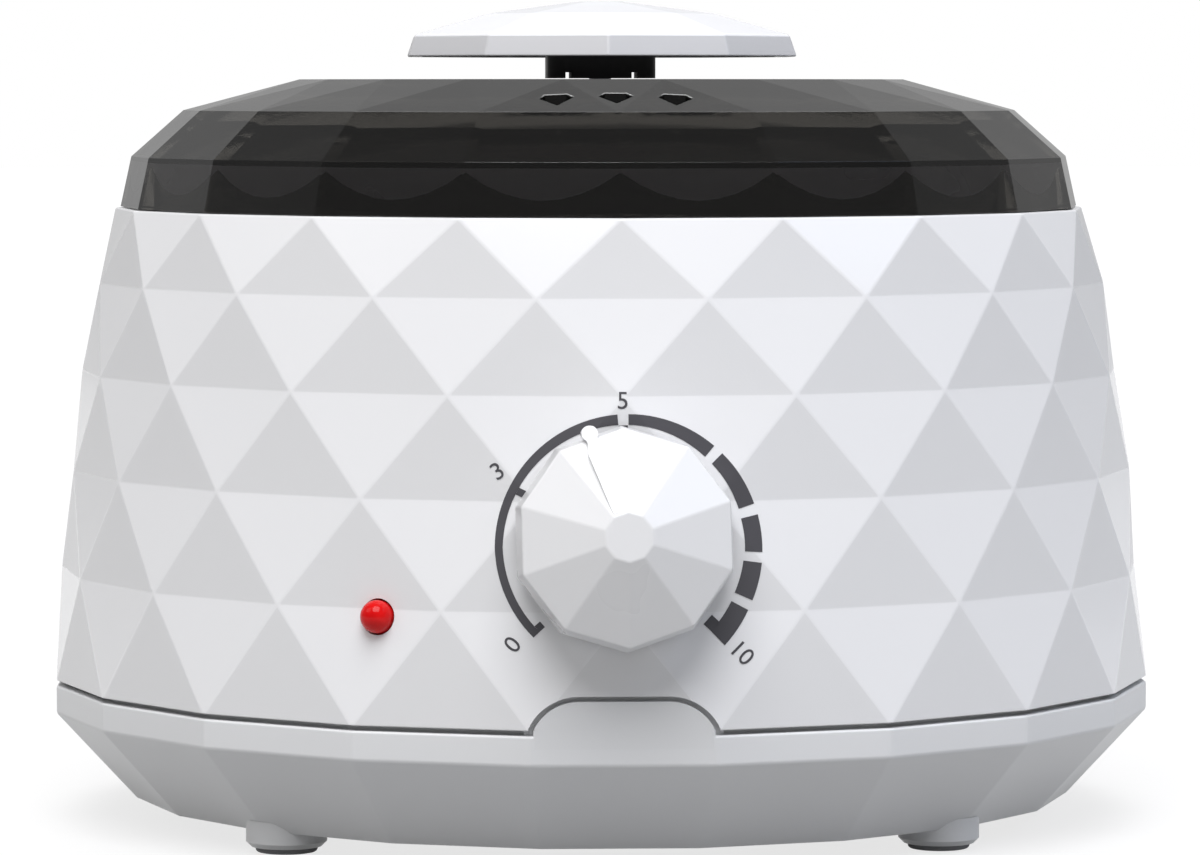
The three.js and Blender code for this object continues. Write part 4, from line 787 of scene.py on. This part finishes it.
def makeLowerHousing():
    wall = housing["wall"]
    outer, foot, bandFoot = housing["seamRadius"], base["foot"], base["bandFoot"]
    bandTop = seamHeight - housing["seamGap"]
    rows = [(base["radius"], foot, 0.5), (outer, bandFoot, 0.5), (outer, bandTop, 0.5)]
    tray = solidFrom(facetedShape(rows, columns, base["edgeRounding"], 3))
    inside = outer - wall
    hollow = [(base["radius"] - wall, foot + wall, 0.5), (inside, bandFoot + base["floorRise"], 0.5)]
    cut(tray, solidFrom(facetedShape(hollow + [(inside, bandTop + overrun, 0.5)], columns)))
    lipFoot, lipOuter = bandFoot + wall, inside - base["lipGap"]
    lipInner = lipOuter - base["lipThickness"]
    lip = uprightRing(lipOuter, lipFoot, seamHeight + base["lipHeight"])
    add(lip, uprightRing(outer - wall / 2, lipFoot, bandTop - base["lipStep"]))
    cut(lip, uprightRing(lipInner, bandFoot, seamHeight + base["lipHeight"] + overrun))
    add(tray, lip)
    front = outer * math.cos(math.pi / columns)
    tabFoot = -housing["seamGap"] - tab["foot"]
    plate = tabShape(0, tabFoot, front - tab["thickness"], front)
    top = [edge for edge in plate.edges if all(abs(v.co.y + front) < 0.01 for v in edge.verts)]
    bevelEdges(plate, top, tab["edgeRounding"])
    add(tray, solidFrom(plate))
    lipBack = front - wall - tab["lipGap"]
    add(tray, solidFrom(tabShape(tab["lip"], tabFoot, lipBack - tab["lipThickness"], lipBack)))
    radius, end, chamfer, legTop = base["legRadius"], base["legEnd"], base["legChamfer"], foot + wall
    legOutline = [(0, end), (radius - chamfer, end), (radius, end + chamfer), (radius, legTop), (0, legTop)]
    pad, head, hole = base["padHole"], base["headHole"], base["screwHole"]
    padTop, headTop, holeTop = base["padHoleTop"], base["headHoleTop"], base["screwHoleTop"]
    boreOutline = [(0, -overrun), (pad, -overrun), (pad, padTop), (head, padTop), (head, headTop)]
    boreOutline += [(hole, headTop), (hole, holeTop), (0, holeTop)]
    for degrees in legAngles:
        place = shift(*around(housing["legCircle"], degrees), 0)
        add(tray, solidFrom(turnedShape(legOutline, rounds["spot"]), place))
        post = drumShape(base["postRadius"], legTop - sunk, base["postTop"], rounds["post"])
        add(tray, solidFrom(post, place))
        cut(tray, solidFrom(turnedShape(boreOutline, rounds["post"]), place))
    slot = roundedOutline(base["ventWidth"], base["ventLength"], base["ventCorner"])
    for i in range(base["vents"]):
        vent = raisedShape(slot, foot - overrun, foot + wall + overrun)
        vent.transform(shift(0, base["ventCircle"], 0))
        cut(tray, solidFrom(vent, turnZ(i * fullTurn / base["vents"])))
    finishPiece(tray, "baseTray", "whiteBase", "housing", ["lower_housing"])


makeUpperHousing()
makeLowerHousing()


# Knob, dial print and lamp

knob = {
    "sides": 10,
    "gap": 1.5,
    "shoulder": 12,
    "depth": 20,
    "baseRadius": 18.9,
    "shoulderRadius": 18.15,
    "flatRadius": 4.1,
    "wall": 2,
    "edgeRounding": 0.3,
    "pointerReach": 18.3,  # axis to the middle of the pointer's round tip
    "pointerTip": 1.35,
    "pointerNeck": 0.95,  # half its width between the tip and the ridge
    "pointerWidth": 3.0,
    "pointerInner": 2.3,
    "pointerRise": 1.75,
    "tipFoot": 5.5,
    "hubRadius": 5,
    "hubFoot": 4.8,
    "pointerRounding": 0.18,
}
knobTurn = math.radians(dial["rest"])


def pointerShape():  # a round tip beyond the knob's edge, and a ridge that dies into the facet
    flatness = math.cos(math.pi / knob["sides"])
    flatReach = knob["flatRadius"] * flatness
    shoulderReach = knob["shoulderRadius"] * flatness
    slope = (knob["depth"] - knob["shoulder"]) / (shoulderReach - flatReach)
    tip, rise, shoulder, foot = knob["pointerTip"], knob["pointerRise"], knob["shoulder"], knob["tipFoot"]
    end = knob["pointerReach"] + tip
    start = flatReach + 0.4

    def facet(reach):
        return knob["depth"] - (reach - flatReach) * slope

    side = [  # seen from the side: (reach, height), out along the ridge and back under it
        (start, facet(start) + 0.03), (start + 4, facet(start + 4) + rise * 0.7),
        (shoulderReach - 2, facet(shoulderReach - 2) + rise), (shoulderReach - 0.4, shoulder + rise * 0.75),
        (end - tip, shoulder + rise * 0.2), (end - tip * 0.3, shoulder - tip * 0.5),
        (end, shoulder - 2.2), (end, foot + 0.9), (end - 0.8, foot),
        (shoulderReach - 1, foot), (shoulderReach - 1, shoulder - rise), (start, facet(start) - rise),
    ]
    profile = raisedShape(side, -3, 3)
    profile.transform(swung)
    width, inner, neck = knob["pointerWidth"] / 2, knob["pointerInner"] / 2, knob["pointerNeck"]
    leave = math.degrees(math.asin(neck / tip))  # where the tip's circle meets the neck
    wide, narrow = shoulderReach - 2.1, shoulderReach - 0.7
    plan = [(-inner, start), (inner, start), (width, wide), (neck, narrow)]
    plan += arcPoints(0, knob["pointerReach"], tip, leave - 90, 270 - leave, 20)
    plan += [(-neck, narrow), (-width, wide)]
    return keepInside(solidFrom(profile), solidFrom(raisedShape(plan, 0, knob["depth"] + overrun)))


def makeKnob():
    rows = [
        (knob["baseRadius"], knob["gap"], 0.5),
        (knob["shoulderRadius"], knob["shoulder"], 0.5),
        (knob["flatRadius"], knob["depth"], 0.5),
    ]
    body = solidFrom(facetedShape(rows, knob["sides"], knob["edgeRounding"], 3))
    inner = movedIn(rows[:2], knob["wall"], knob["sides"])
    inner[0] = (inner[0][0], knob["gap"] - overrun, 0.5)
    cut(body, solidFrom(facetedShape(inner, knob["sides"])))
    add(body, solidFrom(drumShape(knob["hubRadius"], knob["hubFoot"], knob["shoulder"], rounds["post"])))
    add(body, pointerShape())
    edge = body.modifiers.new("softEdges", "BEVEL")
    edge.width = knob["pointerRounding"]
    edge.segments = 2
    edge.limit_method = "ANGLE"
    edge.angle_limit = math.radians(40)
    settle(body)
    place = toRow @ dialFrame @ turnZ(knobTurn)
    finishPiece(body, "heatKnob", "whiteKnob", "knob", ["knob"], 30, place)


makeKnob()

dialMarks = {
    "centre": (0.93, -1.2),  # from the knob's axis, in the dial's own frame
    "stand": 0.07,
    "sink": 0.02,
    "reach": 14,  # how far a mark is cast through the facets, each way
    "letterScale": 1.38,  # the type's size for its height
    "arcs": [  # each through (degrees clockwise from the top, outer radius, thickness)
        [(-133.3, 21.95, 1.4), (-90, 22.37, 1.32), (-5.0, 22.08, 1.75)],
        [(-0.2, 22.05, 1.75), (40.4, 22.05, 2.4)],
        [(45.1, 22.05, 2.5), (71.1, 22.2, 2.8)],
        [(76.0, 22.25, 2.95), (92.4, 22.35, 2.95)],
        [(97.0, 22.4, 3.15), (113.5, 22.5, 3.28)],
        [(118.0, 22.55, 3.2), (136.0, 22.9, 3.35)],
    ],
    "ticks": [  # degrees from the top, radius from and to, width; each ends at the inner edge of its arc
        (-131.55, 19.35, 20.56, 1.25), (-63.3, 19.5, 20.81, 1.26), (-2.7, 18.9, 20.2, 1.55),
        (132.9, 17.85, 19.58, 2.1),
    ],
    "numbers": [  # text, degrees from the top, distance, lean and height
        ("0", -130, 25.3, 50, 3.0), ("3", -60, 25.2, 32, 3.0),
        ("5", -2.4, 24.2, 0, 3.0), ("10", 133.5, 25.8, -45, 3.0),
    ],
}


def dialOutline(stations):
    outer, inner = [], []
    for start, end in zip(stations, stations[1:]):
        steps = max(6, int((end[0] - start[0]) / 3))
        for i in range(1 if outer else 0, steps + 1):
            degrees, reach, thickness = (a + (b - a) * i / steps for a, b in zip(start, end))
            outer.append(around(-reach, -degrees))
            inner.append(around(thickness - reach, -degrees))
    return outer + inner[::-1]


def shapeOfCurve(curve):
    made = bpy.data.objects.new(curve.name, curve)
    shapes.objects.link(made)
    graph = bpy.context.evaluated_depsgraph_get()
    mesh = bpy.data.meshes.new_from_object(made.evaluated_get(graph))
    bpy.data.objects.remove(made)
    shape = bmesh.new()
    shape.from_mesh(mesh)
    bpy.data.meshes.remove(mesh)
    bmesh.ops.remove_doubles(shape, verts=shape.verts, dist=sameSpot)
    return shape


def numberShape(text, height):
    letters = bpy.data.curves.new("number", "FONT")
    letters.body = text
    letters.align_x = "CENTER"
    letters.align_y = "CENTER"
    letters.size = height * dialMarks["letterScale"]
    letters.extrude = dialMarks["reach"] + 1
    letters.resolution_u = 6
    return shapeOfCurve(letters)


def makeDialPrint():
    grown = [(radius + dialMarks["stand"], height, turn) for radius, height, turn in housingRows]
    lower = [(radius - dialMarks["sink"], height, turn) for radius, height, turn in housingRows]
    place = dialFrame @ shift(*dialMarks["centre"], 0)
    cast = dialMarks["reach"]
    outlines = [dialOutline(stations) for stations in dialMarks["arcs"]]
    prints = [solidFrom(raisedShape(outline, -cast, cast), place) for outline in outlines]
    for degrees, low, high, width in dialMarks["ticks"]:
        tick = blockShape((-width / 2, low, -cast), (width / 2, high, cast))
        prints.append(solidFrom(tick, place @ turnZ(-math.radians(degrees))))
    for text, degrees, reach, lean, height in dialMarks["numbers"]:
        spot = shift(*around(-reach, -degrees), 0)
        prints.append(solidFrom(numberShape(text, height), place @ spot @ turnZ(math.radians(lean))))
    made = []
    for front in prints:
        film = cut(solidFrom(facetedShape(grown, columns)), solidFrom(facetedShape(lower, columns)))
        made.append(keepInside(film, front))
    whole = bmesh.new()
    for part in made:
        whole.from_mesh(part.data)
        bpy.data.objects.remove(part)
    finishPiece(solidFrom(whole), "dialMarks", "dialPrint", "housing", smooth=20)


makeDialPrint()


lens = {
    "domeRise": 0.4,  # skin to the dome's foot
    "flangeRadius": 4.4,
    "flangeDepths": (2.2, 3.4),
    "stemRadius": 2.4,
    "stemDepth": 6.4,
}


def makeLens():
    radius, stem, flange = lamp["radius"], lens["stemRadius"], lens["flangeRadius"]
    near, far = lens["flangeDepths"]
    dome = arcPoints(0, lens["domeRise"], radius, 0, 90, 14)
    outline = [(0, -lens["stemDepth"]), (stem, -lens["stemDepth"]), (stem, -far), (flange, -far)]
    outline += [(flange, -near), (radius, -near)] + dome[:-1] + [(0, dome[-1][1])]
    body = solidFrom(turnedShape(outline, rounds["spot"]))
    place = toRow @ lampFrame
    finishPiece(body, "indicatorLens", "redLens", "housing", ["indicator_lens"], 40, place)


makeLens()


# Lid and handle

lid = {
    "bottom": 110.7,
    "rimInset": 0.9,
    "heights": (0, 9.1, 17.5, 23.1),
    "insets": (0, 2, 11.5, 32.1),
    "wall": 2.3,
    "skirtDepth": 3,
    "skirtRadius": 85.04,
    "skirtThickness": 1.5,
    "skirtTop": 4.5,
    "edgeRounding": 0.04,
    "screwHole": 2.3,
    "ventRounding": 0.3,
    "ventSpacing": 10.2,
    "ventBack": 64,
    "ventWidth": 5.8,
    "ventLength": 6.1,
}
lidRows = [
    (rimRadius - lid["rimInset"] - inset, height, 0.5 if i == 3 else 0)
    for i, (height, inset) in enumerate(zip(lid["heights"], lid["insets"]))
]
lidTop = lid["heights"][-1]
lidPlace = toRow @ shift(0, 0, lid["bottom"])


def roundVents(mesh):  # the rims of the vents catch the light
    shape = bmesh.new()
    shape.from_mesh(mesh)
    margin = 0.1
    halfWidth = lid["ventSpacing"] + lid["ventWidth"] / 2 + margin
    rims = []
    for edge in shape.edges:
        middle = (edge.verts[0].co + edge.verts[1].co) / 2
        slopes = sorted(face.normal.z for face in edge.link_faces)
        forward = -middle.y - lid["ventBack"]
        near = abs(middle.x) < halfWidth and -margin < forward < lid["ventLength"] + margin
        if near and abs(slopes[0]) < 0.05 and slopes[-1] > 0.9:
            rims.append(edge)
    bevelEdges(shape, rims, lid["ventRounding"])
    shape.to_mesh(mesh)
    shape.free()


def makeLid():
    shell = solidFrom(facetedShape(lidRows, columns, lid["edgeRounding"]))
    depth = lid["skirtDepth"]
    add(shell, solidFrom(drumShape(lid["skirtRadius"], -depth, lid["skirtTop"], rounds["skirt"])))
    inner = movedIn(lidRows, lid["wall"], columns)
    lean = (lidRows[0][0] - lidRows[1][0]) / lidRows[1][1]
    inner[0] = (inner[1][0] + lean * (inner[1][1] + depth + overrun), -depth - overrun, 0)
    hollow = solidFrom(facetedShape(inner, columns))
    skirtInside = lid["skirtRadius"] - lid["skirtThickness"]
    keepInside(hollow, solidFrom(drumShape(skirtInside, -depth - overrun - 1, lidTop + 1, rounds["skirt"])))
    cut(shell, hollow)
    underTop = lidTop - lid["wall"] - overrun
    cut(shell, solidFrom(drumShape(lid["screwHole"], underTop, lidTop + overrun, rounds["boss"])))
    half = lid["ventWidth"] / 2
    for place in (-1, 0, 1):
        x, back, length = place * lid["ventSpacing"], -lid["ventBack"], lid["ventLength"]
        gem = [(x - half * 0.63, back), (x - half, back - length * 0.29), (x, back - length)]
        gem += [(x + half, back - length * 0.29), (x + half * 0.63, back)]
        cut(shell, solidFrom(raisedShape(gem, lid["heights"][1], lidTop + overrun)))
    roundVents(shell.data)
    finishPiece(shell, "smokedLid", "smokedLid", "lid", ["lid_shell"], 32, lidPlace)
    bandTop = (lid["bottom"] + lid["heights"][1]) * mm

    def onBand(face):  # the flat facets inside the band, down to the round skirt
        return face.center.z < bandTop and face.normal.z < -0.1 and facing(face) < -outwards

    # painted light: the flat inner facets get a paler, bluer, frosted finish that stands in for the light
    # seen in the band
    refinish(shell.data, "smokedInsidePaintedLight", onBand)


handle = {
    "neckWidth": 19.7,
    "neckDepth": 15,
    "neckCorner": 2,
    "neckGap": 0.2,
    "neckTop": 6.9,
    "notchWidth": 1.1,
    "notchHeight": 1.3,
    "notchPlace": 6,
    "capRadii": (37, 35.6, 21.6, 4),
    "capHeights": (0, 3.95, 7.8, 10.1),
    "capWall": 2.1,
    "capFoot": 4.1,
    "capRounding": 0.4,
    "capSides": 10,
    "padRadius": 8,  # under the cap, on the neck
    "padHeights": (3.0, 8),
    "screwHole": 2.2,
    "screwHoleTop": 7.8,
}


def makeHandle():
    outline = roundedOutline(handle["neckWidth"], handle["neckDepth"], handle["neckCorner"])
    neck = solidFrom(raisedShape(outline, lidTop + handle["neckGap"], lidTop + handle["neckTop"]))
    half, deep, under = handle["notchWidth"] / 2, handle["neckDepth"] / 2 + overrun, lidTop - overrun
    for x in (-handle["notchPlace"], handle["notchPlace"]):
        notch = blockShape((x - half, -deep, under), (x + half, deep, lidTop + handle["notchHeight"]))
        cut(neck, solidFrom(notch))
    bore = drumShape(lid["screwHole"], under, lidTop + handle["neckTop"] + overrun, rounds["boss"])
    cut(neck, solidFrom(bore))
    finishPiece(neck, "handleNeck", "blackSatin", "lid", ["handle_neck"], 32, lidPlace)
    rows = [(radius, height, 0) for radius, height in zip(handle["capRadii"], handle["capHeights"])]
    sides = handle["capSides"]
    cap = solidFrom(facetedShape(rows, sides, handle["capRounding"], 3))
    inner = movedIn(rows, handle["capWall"], sides)
    inner[0] = (inner[0][0], -overrun, 0)
    cut(cap, solidFrom(facetedShape(inner, sides)))
    add(cap, solidFrom(drumShape(handle["padRadius"], *handle["padHeights"], rounds["hole"])))
    cut(cap, solidFrom(drumShape(handle["screwHole"], 0, handle["screwHoleTop"], rounds["bore"])))
    capPlace = lidPlace @ shift(0, 0, lidTop + handle["capFoot"])
    finishPiece(cap, "handleCap", "whiteCap", "lid", ["handle_cap"], 32, capPlace)
    sideTop = (lid["bottom"] + lidTop + handle["capFoot"] + handle["capHeights"][1]) * mm

    def onSide(face):
        return face.center.z < sideTop and facing(face) > outwards

    # painted shade: the cap's upright side facets get the darker grey
    refinish(cap.data, "paintedShadeCapSide", onSide)


makeLid()
makeHandle()


# Bowl, ring, pot and bail

vessel = {
    "deckSeat": 104.2,
    "bowlRadius": 67.04,
    "bowlWall": 1.2,
    "bowlFloor": 39.3,
    "bowlCorner": 6,
    "flangeRadius": 75.04,
    "ringRadius": 82.74,
    "ringTop": 107.2,
    "ringRounding": 0.8,
    "ringLip": 1.3,  # over the flange
    "flangeGap": 0.3,
    "headHole": 2.9,
    "headDepth": 1.4,
    "cutPast": 2,  # how far the screws' holes are cut past the ring
    "potBase": 107.4,
    "potRadius": 64.34,
    "potWall": 1.0,
    "potDepth": 65.0,
    "potCorner": 8,
    "potFlange": 75.34,
    "potLip": 1.2,
    "potFoot": 18,  # radius of the raised middle of the floor
    "potRise": 1.2,
    "beadRadius": 1.3,
}


def makeBowlAndRing():
    outer, wall, floor = vessel["bowlRadius"], vessel["bowlWall"], vessel["bowlFloor"]
    seat, corner = vessel["deckSeat"], vessel["bowlCorner"]
    outline = [(0, floor)] + arcPoints(outer - corner, floor + corner, corner, -90, 0, 8)
    outline += [(outer, seat), (vessel["flangeRadius"], seat), (vessel["flangeRadius"], seat + wall)]
    soft = vessel["ringRounding"]
    outline += [(outer - wall + soft, seat + wall), (outer - wall, seat + wall - soft)]
    outline += arcPoints(outer - corner, floor + corner, corner - wall, 0, -90, 8) + [(0, floor + wall)]
    bowl = solidFrom(turnedShape(outline, rounds["vessel"]))
    finishPiece(bowl, "heatingBowl", "spunAluminium", "housing", ["heating_bowl"], 30)
    top, inside, rim = vessel["ringTop"], outer - wall, vessel["ringRadius"]
    step, under = vessel["flangeRadius"] + vessel["flangeGap"], top - vessel["ringLip"]
    past = vessel["cutPast"]
    outline = [(step, seat), (rim, seat)] + arcPoints(rim - soft, top - soft, soft, 0, 90, 5)
    outline += arcPoints(inside + soft, top - soft, soft, 90, 180, 5) + [(inside, under), (step, under)]
    ring = solidFrom(turnedShape(outline, rounds["vessel"]))
    for degrees in screwAngles:
        place = shift(*around(housing["screwCircle"], degrees), 0)
        head = drumShape(vessel["headHole"], top - vessel["headDepth"], top + past, rounds["boss"])
        cut(ring, solidFrom(head, place))
        cut(ring, solidFrom(drumShape(housing["screwBore"], seat - past, top, rounds["bore"]), place))
    finishPiece(ring, "bowlRing", "blackSatin", "housing", ["bowl_ring"], 30)


def makePot():
    outer, wall, floor = vessel["potRadius"], vessel["potWall"], -vessel["potDepth"]
    corner, flange, bead = vessel["potCorner"], vessel["potFlange"], vessel["beadRadius"]
    lip, foot, rise = vessel["potLip"], vessel["potFoot"], floor + vessel["potRise"]
    outline = [(0, rise), (foot, rise), (foot + 1.2, floor)]
    outline += arcPoints(outer - corner, floor + corner, corner, -90, 0, 8)
    outline += [(outer, -1), (outer + 0.4, 0)]
    outline += arcPoints(flange - bead, bead, bead, -90, 198, 16)
    outline += [(flange - 2 * bead, lip), (outer - wall + lip, lip)]
    outline += arcPoints(outer - wall + lip, 0, lip, 90, 180, 4)
    outline += arcPoints(outer - corner, floor + corner, corner - wall, 0, -90, 8)
    outline += [(foot + 2, floor + wall), (foot + 0.6, rise + wall), (0, rise + wall)]
    pot = solidFrom(turnedShape(outline, rounds["vessel"]))
    place = toRow @ shift(0, 0, vessel["potBase"])
    finishPiece(pot, "meltingPot", "spunAluminium", "pot", ["inner_pot"], 30, place)


bail = {
    "pivotRise": 7.2,
    "earReach": 65.34,
    "earThickness": 1.5,
    "earWidth": 12,
    "earRounding": 0.2,
    "earFoot": (1.4, 2.6),  # the foot's heights on the pot's flange
    "earFootGap": 0.3,
    "earFootReach": 71.74,
    "earFootRounding": 0.15,
    "earHoleGap": 0.5,
    "wire": 1.6,
    "bend": 2.8,
    "loopRadius": 71.24,
    "endInside": 3,
    "gripRadius": 3.4,
    "gripGap": 0.15,
    "gripHalf": 20,
    "gripRounding": 0.5,
    "gripRibs": 7,
    "grooveDepth": 0.45,
    "ribEnds": (0.14, 0.86),  # shares of the grip's length
}


def tubeShape(points, radius, sides):  # a round wire along points, as a mesh in millimetres
    wire = bpy.data.curves.new("wire", "CURVE")
    wire.dimensions = "3D"
    wire.bevel_depth = radius
    wire.bevel_resolution = sides // 4 - 1
    wire.use_fill_caps = True
    line = wire.splines.new("POLY")
    line.points.add(len(points) - 1)
    for spot, point in zip(line.points, points):
        spot.co = (*point, 1)
    return shapeOfCurve(wire)


def makeBail():
    bend, loop = bail["bend"], bail["loopRadius"]
    end = [(bail["earReach"] - bail["endInside"], 0, 0), (bail["earReach"] + bail["earThickness"], 0, 0)]
    end += [(x, y, 0) for x, y in arcPoints(loop - bend, bend, bend, -90, 0, 8)]
    start = math.degrees(math.asin(2 * bend / loop))
    arc = [(x, y, 0) for x, y in arcPoints(0, 0, loop, start, 180 - start, 72)]
    other = [(-x, y, z) for x, y, z in end[::-1]]
    place = toRow @ shift(0, 0, vessel["potBase"] + bail["pivotRise"])
    wire = solidFrom(tubeShape(end + arc + other, bail["wire"], 16))
    finishPiece(wire, "bailWire", "platedSteel", "bail", ["pot_bail"], 40, place)
    half = bail["gripHalf"]
    bore, radius, soft = bail["wire"] + bail["gripGap"], bail["gripRadius"], bail["gripRounding"]
    outline = [(bore, 0), (radius - soft, 0), (radius, soft)]
    ribs, groove = bail["gripRibs"], radius - bail["grooveDepth"]
    first, last = bail["ribEnds"]
    length = math.radians(2 * half) * loop
    for i in range(ribs):
        z = length * (first + (last - first) * i / (ribs - 1))
        outline += [(radius, z - 1.0), (groove, z - 0.6), (groove, z + 0.6), (radius, z + 1.0)]
    outline += [(radius, length - soft), (radius - soft, length), (bore, length)]
    sleeve = turnedShape(outline, rounds["boss"])
    for v in sleeve.verts:  # bent round the loop
        angle = math.radians(90 + half) - v.co.z / loop
        reach = loop + v.co.x
        v.co = Vector((reach * math.cos(angle), reach * math.sin(angle), v.co.y))
    grip = solidFrom(sleeve)
    finishPiece(grip, "bailGrip", "blackSatin", "bail", ["bail_grip"], 35, place)


# One of a set: its name and its node's name end in its place.
def finishSmall(solid, name, side, finish, body, node, place):
    title = "".join(word.title() for word in side.split("_"))
    finishPiece(solid, name + title, finish, body, [node + side], 35, place)


def makeEars():
    place = toRow @ shift(0, 0, vessel["potBase"])
    reach, thick, wide = bail["earReach"], bail["earThickness"], bail["earWidth"] / 2
    low, high = bail["earFoot"]
    pivot = shift(0, 0, bail["pivotRise"]) @ Matrix.Rotation(math.pi / 2, 4, "Y")
    for side, name in ((0, "right"), (math.pi, "left")):
        outline = [(wide, low)] + arcPoints(0, bail["pivotRise"], wide, 0, 180, 20) + [(-wide, low)]
        plate = raisedShape(outline, reach, reach + thick)
        roundEdges(plate, bail["earRounding"], 2, 60)
        plate.transform(swung)
        ear = solidFrom(plate)
        near, far = reach + bail["earFootGap"], bail["earFootReach"]
        add(ear, solidFrom(blockShape((near, -wide, low), (far, wide, high), bail["earFootRounding"])))
        radius = bail["wire"] + bail["earHoleGap"]
        hole = drumShape(radius, reach - overrun, reach + thick + overrun, rounds["boss"])
        cut(ear, solidFrom(hole, pivot))
        finishSmall(ear, "potEar", name, "platedSteel", "pot", "pot_ear_", place @ turnZ(side))


makeBowlAndRing()
makePot()
makeBail()
makeEars()


# Screws, pads and gland

screws = {
    "recess": 0.9,
    "crossShares": (0.55, 0.13),  # half the length and width of a bar of the cross, of the head's radius
    "tipShare": 0.6,
    "domeShare": 0.6,  # of the head's height
    "ring": (2.6, 1.4, 1.3, 9),  # head's radius and height, shank's radius and length
    "ringSeat": 1.2,
    "handle": (3.8, 2.4, 2.0, 13),
    "washer": 1.2,
    "gap": 0.2,
}
pads = {
    "radius": 5.4,
    "rounding": 0.6,
    "dish": (2.6, 0.15),
    "plateTop": 2.3,
    "neckRadius": 3.0,
    "neckTop": 4,
}


def screwShape(headRadius, headHeight, shankRadius, length):
    dome, tip = headHeight * screws["domeShare"], shankRadius * screws["tipShare"]
    outline = [(0, -length), (tip, -length), (shankRadius, shankRadius - length), (shankRadius, 0)]
    outline += [(headRadius, 0)]
    outline += arcPoints(headRadius - dome, headHeight - dome, dome, 0, 90, 5) + [(0, headHeight)]
    screw = solidFrom(turnedShape(outline, rounds["boss"]))
    reach, width = (headRadius * share for share in screws["crossShares"])
    deep = headHeight - screws["recess"]
    for x, y in ((reach, width), (width, reach)):
        cut(screw, solidFrom(blockShape((-x, -y, deep), (x, y, headHeight + overrun))))
    return screw


def makeScrews():
    flip = Matrix.Rotation(math.pi, 4, "X")
    for degrees, name in zip(screwAngles, ("front", "right", "rear", "left")):
        screw = screwShape(*screws["ring"])
        seat = shift(*around(housing["screwCircle"], degrees), vessel["ringTop"] - screws["ringSeat"])
        place = toRow @ seat @ turnZ(math.radians(degrees * 1.3 + 20))  # no two crosses are in line
        finishSmall(screw, "ringScrew", name, "platedSteel", "housing", "ring_screw_", place)
    screw = screwShape(*screws["handle"])
    seat = lidTop - lid["wall"] - screws["gap"] - screws["washer"] - screws["gap"]
    place = lidPlace @ shift(0, 0, seat) @ flip
    finishPiece(screw, "handleScrew", "platedSteel", "lid", ["handle_screw"], 35, place)


def makePads():
    radius, soft, neck, top = pads["radius"], pads["rounding"], pads["neckRadius"], pads["plateTop"]
    dish, rise = pads["dish"]
    outline = [(0, rise), (dish, rise), (neck, 0)] + arcPoints(radius - soft, soft, soft, -90, 0, 4)
    outline += [(radius, top), (neck, top), (neck, pads["neckTop"]), (0, pads["neckTop"])]
    for degrees, name in zip(legAngles, ("front_left", "front_right", "rear_right", "rear_left")):
        pad = solidFrom(turnedShape(outline, rounds["hole"]))
        place = toRow @ shift(*around(housing["legCircle"], degrees), 0)
        finishSmall(pad, "footPad", name, "padRubber", "housing", "foot_pad_", place)


glandBody = {
    "bore": 3.6,
    "stem": 6,
    "depth": 9,
    "gap": 0.2,
    "flange": 8.6,
    "flangeHeight": 2.2,
    "rounding": 0.8,
    "ribs": 4,
    "ribStart": 1.0,
    "ribSpacing": 1.25,
    "ribRadius": 5.85,
    "ribTaper": 0.25,  # a rib
    "grooveDepth": 0.35,
    "length": 6,
}


def makeGland():
    bore, stem, soft, depth = (glandBody[name] for name in ("bore", "stem", "rounding", "depth"))
    seat = gland["padRise"] + glandBody["gap"]
    top = seat + glandBody["flangeHeight"]
    outline = [(bore, -depth), (stem, -depth), (stem, seat), (glandBody["flange"], seat)]
    outline += arcPoints(glandBody["flange"] - soft, top - soft, soft, 0, 90, 4) + [(stem, top)]
    for i in range(glandBody["ribs"]):
        z = top + glandBody["ribStart"] + glandBody["ribSpacing"] * i
        radius = glandBody["ribRadius"] - glandBody["ribTaper"] * i
        groove = radius - glandBody["grooveDepth"]
        outline += [(radius, z - 0.45), (groove, z - 0.2), (groove, z + 0.2), (radius - 0.1, z + 0.45)]
    end = top + glandBody["length"]
    outline += [(bore + 1.3, end - 0.4), (bore + 1, end), (bore + 0.4, end), (bore, end - 0.4)]
    body, place = solidFrom(turnedShape(outline, rounds["spot"])), toRow @ glandFrame
    finishPiece(body, "cordGland", "blackSatin", "housing", ["cord_gland"], 35, place)


makeScrews()
makePads()
makeGland()


# The nodes that stay as they are get their finishes
nodeFinishes = {
    "spunAluminium": ["fuse_clip", "ear_rivet_left", "ear_rivet_right"],
    "platedSteel": [
        "base_screw_front_left", "base_screw_front_right", "base_screw_rear_right", "base_screw_rear_left",
        "band_screw", "band_nut", "thermal_fuse", "thermostat_shaft", "handle_washer",
    ],
    "turnedBrass": ["thermostat_nut"],
    "blackSatin": ["gland_nut", "lamp_holder"],
    "firedCeramic": ["thermostat_body", "terminal_block"],
    "micaSheet": ["heater_band"],
    "brownSleeve": ["lead_live"],
    "blueSleeve": ["lead_neutral", "lead_lamp"],
    "redSleeve": ["lead_switched", "lead_fused"],
}
for finish, names in nodeFinishes.items():
    for name in names:
        materials = nodes[name].data.materials
        materials.clear()
        materials.append(finishes[finish])
print("nodes finished")
